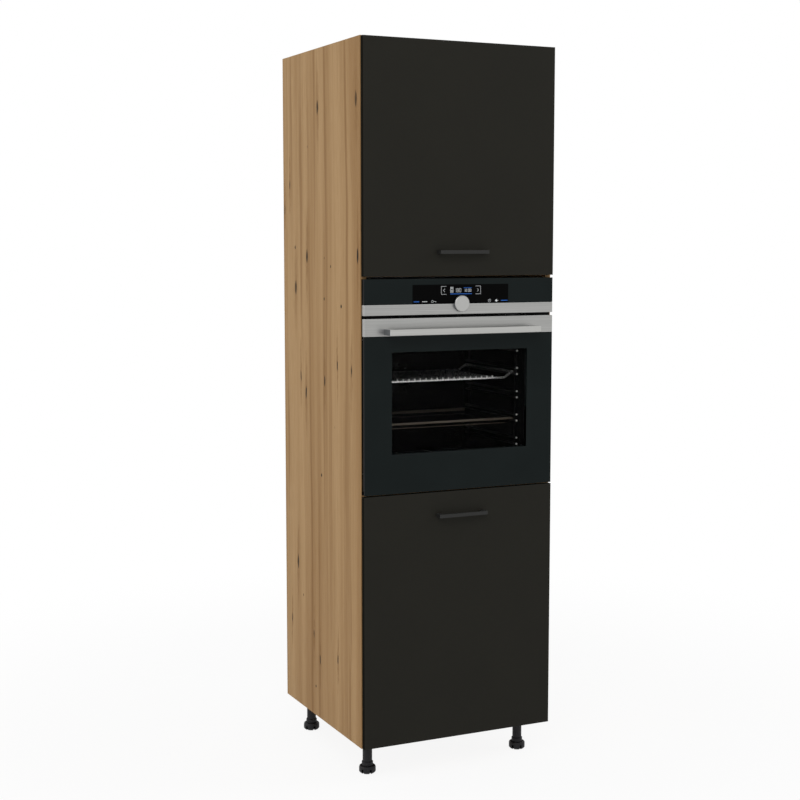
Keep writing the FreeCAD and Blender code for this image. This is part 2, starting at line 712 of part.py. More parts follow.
def strut_side_bracket():
    """Plate on the inner face of the side board with the stud of the barrel's eye."""
    y0 = SIDE_PIVOT.y - BRACKET_W / 2
    top = Z_TOP - PANEL_T - BRACKET_GAP
    plate = box(INNER - BRACKET_T, INNER, y0, y0 + BRACKET_W, top - BRACKET_H, top)
    return fuse([plate] + stud(SIDE_PIVOT, INNER))


def strut_flap_bracket():
    """Angle on the back of the flap whose lug holds the stud of the rod's eye."""
    lug_x = STRUT_X + STRUT_EYE_T / 2 + BRACKET_GAP
    half_h = BRACKET_H / 2
    z0 = FLAP_PIVOT.z - half_h
    z1 = FLAP_PIVOT.z + half_h
    y1 = FLAP_PIVOT.y + STUD_HEAD_R
    outer_x = lug_x + BRACKET_T
    base = box(outer_x - BRACKET_W, outer_x, Y_FRONT_BACK, Y_FRONT_BACK + BRACKET_T, z0, z1)
    lug = extrude(
        [
            Vector(lug_x, Y_FRONT_BACK, z0),
            Vector(lug_x, y1, FLAP_PIVOT.z - STUD_HEAD_R),
            Vector(lug_x, y1, FLAP_PIVOT.z + STUD_HEAD_R),
            Vector(lug_x, Y_FRONT_BACK, z1),
        ],
        Vector(BRACKET_T, 0, 0),
    )
    return fuse([base, lug] + stud(FLAP_PIVOT, outer_x))


def save_flap():
    """Flap, its handle, hinges and gas struts."""
    save("flap_panel", flap_panel())
    save("flap_handle", front_handle(FLAP_Z0 + HANDLE_TO_EDGE))
    save("top_hinge_leaves", *both_sides(top_hinge_leaf()))
    save("flap_hinge_leaves", *both_sides(flap_hinge_leaf()))
    save("flap_hinge_pins", *both_sides(hinge_pin()))
    save("strut_cylinders", *both_sides(strut_cylinder()))
    save("strut_rods", *both_sides(strut_rod()))
    save("strut_side_brackets", *both_sides(strut_side_bracket()))
    save("strut_flap_brackets", *both_sides(strut_flap_bracket()))


def channel(web_x, mouth_x, z_mid, height):
    """Runner member: a channel section whose web and mouth lie at two places across the cabinet."""
    turn = math.copysign(RUNNER_T, mouth_x - web_x)
    y0 = Y_CARCASS + RUNNER_SET_BACK
    z0 = z_mid - height / 2
    z1 = z_mid + height / 2
    outline = [
        Vector(web_x, y0, z0),
        Vector(mouth_x, y0, z0),
        Vector(mouth_x, y0, z0 + RUNNER_T),
        Vector(web_x + turn, y0, z0 + RUNNER_T),
        Vector(web_x + turn, y0, z1 - RUNNER_T),
        Vector(mouth_x, y0, z1 - RUNNER_T),
        Vector(mouth_x, y0, z1),
        Vector(web_x, y0, z1),
    ]
    return extrude(outline, Vector(0, RUNNER_L, 0))


BOX_HALF = INNER - RUNNER_W
BOX_Z0 = Z_BASE + PANEL_T + BOX_LIFT
BOX_Z1 = BOX_Z0 + BOX_WALL_H
RUNNER_Z = BOX_Z0 + RUNNER_UP
Y_BOX_REAR = Y_GROOVE - BOX_REAR_ROOM
RUNNER_L = Y_GROOVE - RUNNER_REAR_ROOM - Y_CARCASS - RUNNER_SET_BACK


def gallery_rail():
    """Rail over a side wall, from the front panel back and down onto the wall."""
    x = BOX_HALF - BOX_WALL_T / 2
    z = BOX_Z1 + RAIL_UP
    y_bend = Y_BOX_REAR - RAIL_R - BOX_WALL_T - RAIL_BEND
    points = [Vector(x, Y_FRONT_BACK, z)]
    for step in range(BEND_STEPS + 1):
        turn = math.pi / 2 * step / BEND_STEPS
        drop = RAIL_BEND * (1 - math.cos(turn))
        points.append(Vector(x, y_bend + RAIL_BEND * math.sin(turn), z - drop))
    points.append(Vector(x, y_bend + RAIL_BEND, BOX_Z1))
    return pipe(points, RAIL_R, BAR_SIDES)


def save_drawer():
    """Pull-out front, handle, box, rails and runners."""
    save("drawer_front_panel", front_panel(DRAWER_Z0, DRAWER_Z1))
    save("drawer_handle", front_handle(DRAWER_Z1 - HANDLE_TO_EDGE))
    inside = BOX_HALF - BOX_WALL_T
    y_front = Y_FRONT_BACK + BOX_WALL_T
    y_rear = Y_BOX_REAR - BOX_WALL_T
    floor_z = BOX_Z0 + BOX_FLOOR_UP
    save("drawer_side_walls", *both_sides(box(inside, BOX_HALF, Y_FRONT_BACK, Y_BOX_REAR, BOX_Z0, BOX_Z1)))
    save(
        "drawer_cross_walls",
        box(-inside, inside, Y_FRONT_BACK, y_front, BOX_Z0, BOX_Z1),
        box(-inside, inside, y_rear, Y_BOX_REAR, BOX_Z0, BOX_Z1),
    )
    save("drawer_floor", box(-inside, inside, y_front, y_rear, floor_z, floor_z + BOX_FLOOR_T))
    save("gallery_rails", *both_sides(gallery_rail()))
    step = RUNNER_T + RUNNER_CLEAR
    mouth = BOX_HALF + RUNNER_T + RUNNER_MOUTH
    middle_h = RUNNER_H - 2 * step
    save("cabinet_runners", *both_sides(channel(INNER, mouth, RUNNER_Z, RUNNER_H)))
    save("middle_runners", *both_sides(channel(INNER - step, mouth, RUNNER_Z, middle_h)))
    inner_mouth = INNER - 2 * step
    save("drawer_runners", *both_sides(channel(BOX_HALF, inner_mouth, RUNNER_Z, middle_h - 2 * step)))


def mouth_prism(y0, y1, grow):
    """Rounded block through the cavity's mouth, grown outwards by a margin."""
    half = MOUTH_HALF + grow
    corner = CAVITY_CORNER - MOUTH_LIP + grow
    return round_box(-half, half, y0, y1, MOUTH_Z0 - grow, MOUTH_Z1 + grow, corner, Y)


def slots(count, pitch, width, y0, y1, z0, z1):
    """Row of upright slots about the middle, as one cutting tool."""
    first = -pitch * (count - 1) / 2
    places = [first + pitch * index for index in range(count)]
    return Part.makeCompound([box(x - width / 2, x + width / 2, y0, y1, z0, z1) for x in places])


def front_frame():
    """Flange of the oven against the carcass, with the mouth, the air outlet and four screw holes."""
    plate = box(-OVEN_W / 2, OVEN_W / 2, Y_OVEN_FRAME, Y_CARCASS, OVEN_Z0, OVEN_Z1)
    outlet_z = DOOR_Z1 + (PANEL_GAP - OUTLET_H) / 2
    outlet_top = outlet_z + OUTLET_H
    cuts = [mouth_prism(Y_OVEN_FRAME, Y_CARCASS, 0)]
    cuts.append(slots(OUTLET_COUNT, OUTLET_PITCH, OUTLET_L, Y_OVEN_FRAME, Y_CARCASS, outlet_z, outlet_top))
    for up in SCREW_UP:
        place = Vector(SCREW_X, Y_OVEN_FRAME, OVEN_Z0 + up)
        cuts += both_sides(bar(place, Y * FRAME_T, SCREW_R + SCREW_CLEAR, WIRE_SIDES))
    for cut in cuts:
        plate = plate.cut(cut)
    return plate


def fixing_screws():
    """Four screws through the flange into the side boards."""
    screws = []
    for up in SCREW_UP:
        seat = Vector(SCREW_X, Y_OVEN_FRAME, OVEN_Z0 + up)
        head = bar(seat, Y * -SCREW_HEAD_T, SCREW_HEAD_R, BAR_SIDES)
        shank = bar(seat, Y * (FRAME_T + SCREW_L - SCREW_END_ROOM), SCREW_R, WIRE_SIDES)
        screws += both_sides(fuse([head, shank]))
    return screws


def cavity():
    """Enamelled liner: a rounded box open at the front, bored at the rear for the fan's shaft."""
    outer_half = CAVITY_HALF + CAVITY_T
    z0 = CAVITY_Z0 - CAVITY_T
    z1 = CAVITY_Z1 + CAVITY_T
    rear = Y_CAVITY_BACK + CAVITY_T
    outer = round_box(-outer_half, outer_half, Y_CARCASS, rear, z0, z1, CAVITY_CORNER + CAVITY_T, Y)
    hollow = round_box(
        -CAVITY_HALF, CAVITY_HALF, Y_CARCASS, Y_CAVITY_BACK, CAVITY_Z0, CAVITY_Z1, CAVITY_CORNER, Y
    )
    shaft_hole = bar(Vector(0, Y_CAVITY_BACK, FAN_Z), Y * CAVITY_T, FAN_SHAFT_R + FAN_FIT, BAR_SIDES)
    return outer.cut(hollow).cut(shaft_hole)


def rear_casing():
    """Rear sheet with two rows of air slots and the collar where the supply lead enters."""
    z0 = OVEN_SHELF_Z + CASING_T
    z1 = CASING_Z1 - CASING_T
    half = CASING_HALF - CASING_T
    y0 = Y_CASING_REAR - CASING_T
    sheet = box(-half, half, y0, Y_CASING_REAR, z0, z1)
    for base in (z0 + VENT_SLOT_L, z1 - 2 * VENT_SLOT_L):
        top = base + VENT_SLOT_L
        sheet = sheet.cut(slots(VENT_COUNT, VENT_PITCH, VENT_SLOT_W, y0, Y_CASING_REAR, base, top))
    centre = Vector(INLET_X, y0, OVEN_Z0 + INLET_UP)
    run = Y * (CASING_T + INLET_OUT)
    collar = bar(centre, run, INLET_R + INLET_WALL, BAR_SIDES)
    return fuse([sheet, collar]).cut(bar(centre, run, INLET_R, BAR_SIDES))


def save_oven_casing():
    """Flange, outer sheets, liner, seal and screws."""
    save("oven_front_frame", front_frame())
    save("oven_fixing_screws", *fixing_screws())
    inner = CASING_HALF - CASING_T
    top_z = CASING_Z1 - CASING_T
    side = box(inner, CASING_HALF, Y_CARCASS, Y_CASING_REAR, OVEN_SHELF_Z, CASING_Z1)
    save("oven_side_casings", *both_sides(side))
    top = box(-inner, inner, Y_CARCASS, Y_CASING_REAR, top_z, CASING_Z1)
    y_slots = Y_CASING_REAR - 2 * VENT_SLOT_L
    vents = slots(VENT_COUNT, VENT_PITCH, VENT_SLOT_W, y_slots, y_slots + VENT_SLOT_L, top_z, CASING_Z1)
    save("oven_top_casing", top.cut(vents))
    base_z = OVEN_SHELF_Z + CASING_T
    save("oven_base_casing", box(-inner, inner, Y_CARCASS, Y_CASING_REAR, OVEN_SHELF_Z, base_z))
    save("oven_rear_casing", rear_casing())
    save("oven_cavity", cavity())
    ring = mouth_prism(Y_OVEN_FRAME - SEAL_T, Y_OVEN_FRAME, SEAL_OFFSET + SEAL_W)
    save("oven_door_seal", ring.cut(mouth_prism(Y_OVEN_FRAME - SEAL_T, Y_OVEN_FRAME, SEAL_OFFSET)))


def level_z(index):
    """Height of the lower rail of a rack level."""
    return CAVITY_Z0 + LEVEL_FIRST + index * LEVEL_PITCH


def ladder():
    """Right-hand wire ladder: paired rails welded to two posts, with pegs to the wall."""
    y0, y1 = Y_LADDER
    post_x = LADDER_X + LADDER_R + LADDER_POST_R - LADDER_WELD
    heights = [level_z(index) for index in range(LEVEL_COUNT)]
    heights += [level_z(index) + LEVEL_GAP for index in range(LEVEL_COUNT - 1)]
    wires = [bar(Vector(LADDER_X, y0, z), Y * (y1 - y0), LADDER_R, WIRE_SIDES) for z in heights]
    low = min(heights) - LEVEL_GAP
    high = max(heights) + LEVEL_GAP
    for y in (y0 + LEVEL_GAP, y1 - LEVEL_GAP):
        wires.append(bar(Vector(post_x, y, low), Z * (high - low), LADDER_POST_R, POST_SIDES))
        for z in (low + LEVEL_GAP / 2, high - LEVEL_GAP / 2):
            wires.append(bar(Vector(post_x, y, z), X * (CAVITY_HALF - post_x), LADDER_PEG_R, POST_SIDES))
    return fuse(wires)


def wire_rack():
    """Grid of wires on two cross rods that crank up to the side rods lying on the ladders."""
    side_x = LADDER_X - RACK_INSET
    side_z = level_z(RACK_LEVEL) + LADDER_R + RACK_FRAME_R + REST_GAP
    grid_z = side_z - RACK_DROP
    bend_x = side_x - RACK_CRANK
    y0 = Y_RACK - RACK_FRAME_R
    y1 = Y_RACK + RACK_DEPTH
    side_run = Y * (y1 + RACK_FRAME_R - y0)
    wires = both_sides(bar(Vector(side_x, y0, side_z), side_run, RACK_FRAME_R, WIRE_SIDES))
    for y in (Y_RACK, y1):
        corners = [(-side_x, side_z), (-bend_x, grid_z), (bend_x, grid_z), (side_x, side_z)]
        wires.append(pipe([Vector(x, y, z) for x, z in corners], RACK_FRAME_R, WIRE_SIDES))
    wire_z = grid_z + RACK_FRAME_R
    first = RACK_WIRE_SIDE - bend_x
    pitch = -2 * first / (RACK_WIRES - 1)
    for index in range(RACK_WIRES):
        x = first + index * pitch
        wires.append(bar(Vector(x, y0, wire_z), Y * (y1 - y0), RACK_WIRE_R, WIRE_SIDES))
    return fuse(wires)


def rectangle(half, y0, y1, z):
    """Closed level outline about the middle."""
    return loop([Vector(-half, y0, z), Vector(half, y0, z), Vector(half, y1, z), Vector(-half, y1, z)])


def tray_solid(half, y0, y1, z0, z1, inset):
    """Tapered block of a tray: full size at the rim, narrower at the floor."""
    floor = rectangle(half - inset, y0 + inset, y1 - inset, z0)
    return Part.makeLoft([floor, rectangle(half, y0, y1, z1)], True, True)


def baking_tray():
    """Shallow tray with sloping walls and a thick rim that lies on the ladders."""
    half = LADDER_X + TRAY_OVER
    rim_z0 = level_z(TRAY_LEVEL) + LADDER_R + REST_GAP
    rim_z1 = rim_z0 + TRAY_RIM_H
    floor_z = rim_z1 - TRAY_DEPTH
    y1 = Y_RACK + RACK_DEPTH
    rim = box(-half, half, Y_RACK, y1, rim_z0, rim_z1)
    well_half = half - TRAY_RIM_W
    y_in = Y_RACK + TRAY_RIM_W
    y_out = y1 - TRAY_RIM_W
    well = tray_solid(well_half, y_in, y_out, floor_z, rim_z1, TRAY_TAPER)
    hollow = tray_solid(
        well_half - TRAY_T, y_in + TRAY_T, y_out - TRAY_T, floor_z + TRAY_T, rim_z1, TRAY_TAPER
    )
    return fuse([rim, well]).cut(hollow)


def fan_cover():
    """Pressed cover over the fan, open at the rear, with rays in front of the fan and a row of outlets."""
    y0 = Y_CAVITY_BACK - COVER_D
    z0 = CAVITY_Z0 + COVER_RISE
    shell = box(-COVER_HALF, COVER_HALF, y0, Y_CAVITY_BACK, z0, COVER_Z1)
    inner = COVER_HALF - COVER_T
    shell = shell.cut(box(-inner, inner, y0 + COVER_T, Y_CAVITY_BACK, z0 + COVER_T, COVER_Z1 - COVER_T))
    slot_z = FAN_Z - COVER_SLOT_DROP
    row = slots(COVER_SLOTS, COVER_SLOT_PITCH, COVER_SLOT_W, y0, y0 + COVER_T, slot_z, slot_z + COVER_SLOT_H)
    rays = []
    for index in range(COVER_RAYS):
        ray = box(COVER_RAY_IN, COVER_RAY_OUT, y0, y0 + COVER_T, -COVER_RAY_W / 2, COVER_RAY_W / 2)
        ray.rotate(Vector(0, 0, 0), Y, 360.0 * index / COVER_RAYS)
        ray.translate(Vector(0, 0, FAN_Z))
        rays.append(ray)
    return shell.cut(row).cut(Part.makeCompound(rays))


def fan():
    """Radial fan: back plate, hub and turned blades, bored for the motor's shaft."""
    y1 = Y_CAVITY_BACK - FAN_WALL_GAP
    y_plate = y1 - FAN_PLATE_T
    y_front = y_plate - FAN_BLADE_D
    plate = bar(Vector(0, y_plate, 0), Y * FAN_PLATE_T, FAN_R, TURNED_SIDES)
    hub = bar(Vector(0, y_front, 0), Y * (y1 - y_front), FAN_HUB_R, BAR_SIDES)
    pieces = [plate, hub]
    tip = FAN_R - FAN_BLADE_L
    for index in range(FAN_BLADES):
        blade = box(0, FAN_BLADE_L, y_front, y_plate, -FAN_BLADE_T / 2, FAN_BLADE_T / 2)
        blade.rotate(Vector(FAN_BLADE_L, 0, 0), Y, FAN_BLADE_TURN)
        blade.translate(Vector(tip - FAN_BLADE_T, 0, 0))
        blade.rotate(Vector(0, 0, 0), Y, 360.0 * index / FAN_BLADES)
        pieces.append(blade)
    wheel = fuse(pieces)
    wheel = wheel.cut(Part.makeCylinder(FAN_SHAFT_R + FAN_FIT, y1 - y_front, Vector(0, y_front, 0), Y))
    wheel.translate(Vector(0, 0, FAN_Z))
    return wheel


def fan_motor():
    """Motor on the rear of the liner with its shaft through the wall into the fan."""
    y0 = Y_CAVITY_BACK + CAVITY_T
    can = bar(Vector(0, y0, FAN_Z), Y * MOTOR_L, MOTOR_R, TURNED_SIDES)
    shaft_l = CAVITY_T + FAN_WALL_GAP + FAN_PLATE_T + FAN_BLADE_D
    shaft = Part.makeCylinder(FAN_SHAFT_R, shaft_l, Vector(0, y0 - shaft_l, FAN_Z), Y)
    return fuse([can, shaft])


def grill_element():
    """One heating tube that runs to and fro under the roof and ends in the rear wall."""
    z = CAVITY_Z1 - GRILL_DROP
    bend = GRILL_PITCH / 2
    y_front = Y_CARCASS + GRILL_START + bend
    y_turn = Y_CAVITY_BACK - COVER_D - bend
    first = GRILL_SIDE - CAVITY_HALF
    points = [Vector(first, Y_CAVITY_BACK, z)]
    for index in range(GRILL_RUNS - 1):
        middle = first + GRILL_PITCH * index + bend
        y, way = (y_front, -bend) if index % 2 == 0 else (y_turn, bend)
        for step in range(2 * BEND_STEPS + 1):
            turn = math.pi / 2 * step / BEND_STEPS
            points.append(Vector(middle - bend * math.cos(turn), y + way * math.sin(turn), z))
    points.append(Vector(-first, Y_CAVITY_BACK, z))
    return pipe(points, GRILL_R, WIRE_SIDES)


def save_oven_inside():
    """What the cavity holds: ladders, rack, tray, fan with cover and motor, and the grill."""
    save("rack_ladders", *both_sides(ladder()))
    save("wire_rack", wire_rack())
    save("baking_tray", baking_tray())
    save("fan_cover", fan_cover())
    save("oven_fan", fan())
    save("fan_motor", fan_motor())
    save("grill_element", grill_element())


def knob():
    """Round selector with an eased face edge and a shaft through the panel."""
    y0 = Y_FACE - KNOB_REACH
    cap = bar(Vector(0, y0, STRIP_Z1), Y * (KNOB_REACH - KNOB_GAP), KNOB_R, KNOB_SIDES)
    face_edges = [edge for edge in cap.Edges if edge.BoundBox.YMax < y0 + KNOB_GAP]
    cap = cap.makeChamfer(KNOB_EDGE, face_edges)
    shaft_l = KNOB_GAP + KNOB_SHAFT_IN
    return fuse([cap, Part.makeCylinder(KNOB_SHAFT_R, shaft_l, Vector(0, Y_FACE - KNOB_GAP, STRIP_Z1), Y)])


def save_control_panel():
    """Steel strip with returned ends, glass and carrier of the panel, and its knob."""
    half = OVEN_W / 2
    centre = Vector(0, Y_FACE, STRIP_Z1)
    clearance = bar(centre, Y * GLASS_T, KNOB_SHAFT_R + KNOB_HOLE_CLEAR, BAR_SIDES)
    carrier_half = half - CARRIER_SIDE
    strip_top = STRIP_Z1 - GLASS_JOINT
    strip = box(-half, half, Y_FACE, Y_GLASS_BACK, STRIP_Z0, strip_top).cut(clearance)
    end = box(carrier_half, half, Y_GLASS_BACK, Y_OVEN_FRAME, STRIP_Z0, strip_top)
    save("control_strip", fuse([strip] + both_sides(end)))
    save("control_glass", box(-half, half, Y_FACE, Y_GLASS_BACK, STRIP_Z1, OVEN_Z1).cut(clearance))
    z0 = STRIP_Z0 + CARRIER_EDGE
    carrier = box(-carrier_half, carrier_half, Y_GLASS_BACK, Y_OVEN_FRAME, z0, OVEN_Z1 - CARRIER_EDGE)
    bore_l = Y_OVEN_FRAME - Y_GLASS_BACK
    bore = Part.makeCylinder(KNOB_SHAFT_R + KNOB_FIT, bore_l, Vector(0, Y_GLASS_BACK, STRIP_Z1), Y)
    save("control_carrier", carrier.cut(bore))
    save("oven_knob", knob())


def door_trim():
    """Steel strip along the door's top, turned back over the top and the ends of the door's frame."""
    z1 = DOOR_Z1
    z_cap = z1 - TRIM_CAP_T
    half = OVEN_W / 2
    outline = [
        Vector(-half, Y_FACE, DOOR_STRIP_Z0),
        Vector(-half, Y_GLASS_BACK, DOOR_STRIP_Z0),
        Vector(-half, Y_GLASS_BACK, z_cap),
        Vector(-half, Y_DOOR_BACK, z_cap),
        Vector(-half, Y_DOOR_BACK, z1),
        Vector(-half, Y_FACE, z1),
    ]
    end = box(half - DOOR_FRAME_INSET, half, Y_GLASS_BACK, Y_DOOR_BACK, DOOR_STRIP_Z0, z_cap)
    return fuse([extrude(outline, Vector(OVEN_W, 0, 0))] + both_sides(end))


def door_frame():
    """Two stiles and two rails behind the glass, set round the window."""
    outer = OVEN_W / 2 - DOOR_FRAME_INSET
    inner = WINDOW_W / 2
    top = DOOR_Z1 - TRIM_CAP_T
    stile = box(inner, outer, Y_GLASS_BACK, Y_DOOR_BACK, DOOR_FRAME_Z0, top)
    bottom_rail = box(-inner, inner, Y_GLASS_BACK, Y_DOOR_BACK, DOOR_FRAME_Z0, WINDOW_Z0)
    top_rail = box(-inner, inner, Y_GLASS_BACK, Y_DOOR_BACK, WINDOW_Z1, top)
    return both_sides(stile) + [bottom_rail, top_rail]


def hinge_lug():
    """Lug under a stile that turns on the receiver's pin."""
    x0 = LUG_X - LUG_T / 2
    eye = bar(Vector(x0, DOOR_AXIS_Y, DOOR_AXIS_Z), X * LUG_T, LUG_R, BAR_SIDES)
    neck = box(x0, x0 + LUG_T, DOOR_AXIS_Y - LUG_R, DOOR_AXIS_Y + LUG_R, DOOR_AXIS_Z, DOOR_FRAME_Z0)
    bore = Part.makeCylinder(DOOR_PIN_R + DOOR_PIN_FIT, LUG_T, Vector(x0, DOOR_AXIS_Y, DOOR_AXIS_Z), X)
    return fuse([eye, neck]).cut(bore)


def hinge_receiver():
    """Two cheeks on the flange with the door's hinge pin between them."""
    gap = LUG_T / 2 + LUG_CLEAR
    parts = []
    for x0 in (LUG_X - gap - CHEEK_T, LUG_X + gap):
        axis_point = Vector(x0, DOOR_AXIS_Y, DOOR_AXIS_Z)
        parts.append(bar(axis_point, X * CHEEK_T, CHEEK_HALF_H, BAR_SIDES))
        z0 = DOOR_AXIS_Z - CHEEK_HALF_H
        parts.append(box(x0, x0 + CHEEK_T, DOOR_AXIS_Y, Y_OVEN_FRAME, z0, DOOR_AXIS_Z + CHEEK_HALF_H))
    start = Vector(LUG_X - gap - CHEEK_T, DOOR_AXIS_Y, DOOR_AXIS_Z)
    parts.append(Part.makeCylinder(DOOR_PIN_R, 2 * (gap + CHEEK_T), start, X))
    return fuse(parts)


def save_oven_door():
    """Drop-down door with its glasses, trim, frame, handle and hinges."""
    half = OVEN_W / 2
    glass_top = DOOR_STRIP_Z0 - GLASS_JOINT
    save("oven_door_glass", box(-half, half, Y_FACE, Y_GLASS_BACK, OVEN_Z0, glass_top))
    save("oven_door_trim", door_trim())
    save("oven_door_frame", *door_frame())
    lap = WINDOW_W / 2 + INNER_GLASS_LAP
    y1 = Y_DOOR_BACK + GLASS_T
    save("oven_inner_glass", box(-lap, lap, Y_DOOR_BACK, y1, MOUTH_Z0 + MOUTH_LIP, MOUTH_Z1 - MOUTH_LIP))
    handle = bow_handle(
        OVEN_HANDLE_L,
        OVEN_HANDLE_H,
        OVEN_HANDLE_REACH,
        OVEN_HANDLE_BAR,
        OVEN_HANDLE_POST,
        OVEN_HANDLE_CORNER,
        OVEN_HANDLE_INNER_R,
    )
    handle.translate(Vector(0, 0, DOOR_Z1 - OVEN_HANDLE_DROP))
    save("oven_handle", handle)
    save("door_hinge_lugs", *both_sides(hinge_lug()))
    save("oven_hinge_receivers", *both_sides(hinge_receiver()))


def build():
    """Write every node of the cabinet."""
    os.makedirs("parts", exist_ok=True)
    save_carcass()
    save_legs()
    save_flap()
    save_drawer()
    save_oven_casing()
    save_oven_inside()
    save_control_panel()
    save_oven_door()


build()
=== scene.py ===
"""Dresses a tall kitchen cabinet with a built-in oven: finishes, small pieces, camera and studio."""

import json
import logging
import math
from dataclasses import dataclass
from enum import Enum
from typing import Any, Callable, Iterable, Optional, Sequence

import bmesh
import bpy
from mathutils import Matrix, Vector

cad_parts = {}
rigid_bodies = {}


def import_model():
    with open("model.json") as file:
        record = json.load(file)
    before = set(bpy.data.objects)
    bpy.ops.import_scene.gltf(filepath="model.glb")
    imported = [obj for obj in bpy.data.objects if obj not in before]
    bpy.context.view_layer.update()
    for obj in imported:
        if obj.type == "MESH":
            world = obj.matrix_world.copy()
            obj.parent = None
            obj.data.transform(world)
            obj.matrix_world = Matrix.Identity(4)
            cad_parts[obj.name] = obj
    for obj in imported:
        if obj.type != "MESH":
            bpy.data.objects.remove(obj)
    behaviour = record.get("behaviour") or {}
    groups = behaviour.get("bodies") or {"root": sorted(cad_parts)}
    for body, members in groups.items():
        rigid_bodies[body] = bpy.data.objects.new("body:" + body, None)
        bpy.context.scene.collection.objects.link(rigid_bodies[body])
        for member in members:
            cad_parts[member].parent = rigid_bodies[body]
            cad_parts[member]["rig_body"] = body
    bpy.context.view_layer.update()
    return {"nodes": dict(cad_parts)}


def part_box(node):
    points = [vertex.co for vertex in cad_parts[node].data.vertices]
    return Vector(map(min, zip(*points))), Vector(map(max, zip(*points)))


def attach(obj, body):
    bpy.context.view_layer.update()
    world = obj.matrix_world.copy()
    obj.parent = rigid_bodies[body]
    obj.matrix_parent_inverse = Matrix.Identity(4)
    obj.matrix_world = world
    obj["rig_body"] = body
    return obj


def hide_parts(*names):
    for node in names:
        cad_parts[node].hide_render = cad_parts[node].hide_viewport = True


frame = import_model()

LOG = logging.getLogger("cabinet")
MM = 0.001

Colour = tuple[float, float, float, float]
Corner = tuple[float, float, float]
Point = tuple[float, float]
Aimed = tuple[Corner, Corner]
Socket = bpy.types.NodeSocket
Value = Socket | float | tuple[float, ...]
Material = bpy.types.Material
Mesh = bpy.types.Mesh
Piece = bpy.types.Object
Face = bpy.types.MeshPolygon

# Directions in which a small shape faces.
DOWN: Corner = (0.0, 0.0, -1.0)
FRONT: Corner = (0.0, -1.0, 0.0)
REAR: Corner = (0.0, 1.0, 0.0)

# Share of an axis in the normal of a face, from one that leans a little to one that looks along the axis.
LEANING = 0.2
ASIDE = 0.3
HALFWAY = 0.5
SQUARE = 0.9
FLAT = 0.97


def linear(red: float, green: float, blue: float) -> Colour:
    """Turn a display colour into scene-linear values.

    Args:
        red: Red from 0 to 255.
        green: Green from 0 to 255.
        blue: Blue from 0 to 255.

    Returns:
        Linear red, green, blue and an alpha of 1.
    """

    def channel(value: float) -> float:
        """One channel of the colour."""
        share = value / 255
        return share / 12.92 if share <= 0.04045 else ((share + 0.055) / 1.055) ** 2.4

    return channel(red), channel(green), channel(blue), 1.0


def dimmed(colour: Colour, share: float) -> Colour:
    """A linear colour at a share of its strength."""
    return tuple(channel * share for channel in colour[:3]) + (1.0,)


class Grain(Enum):
    """Direction in which a grain or a brushing runs."""

    ACROSS = 0
    DEEP = 1
    UPRIGHT = 2

    def stretch(self, over: float, along: float) -> Corner:
        """Pattern scale over the grain and along it, as a vector for the three axes."""
        return tuple(along if axis == self.value else over for axis in range(3))


class Body(Enum):
    """Bodies of the frame that small pieces ride on."""

    CARCASS = "carcass"
    FLAP = "flap"
    DOOR = "oven_door"


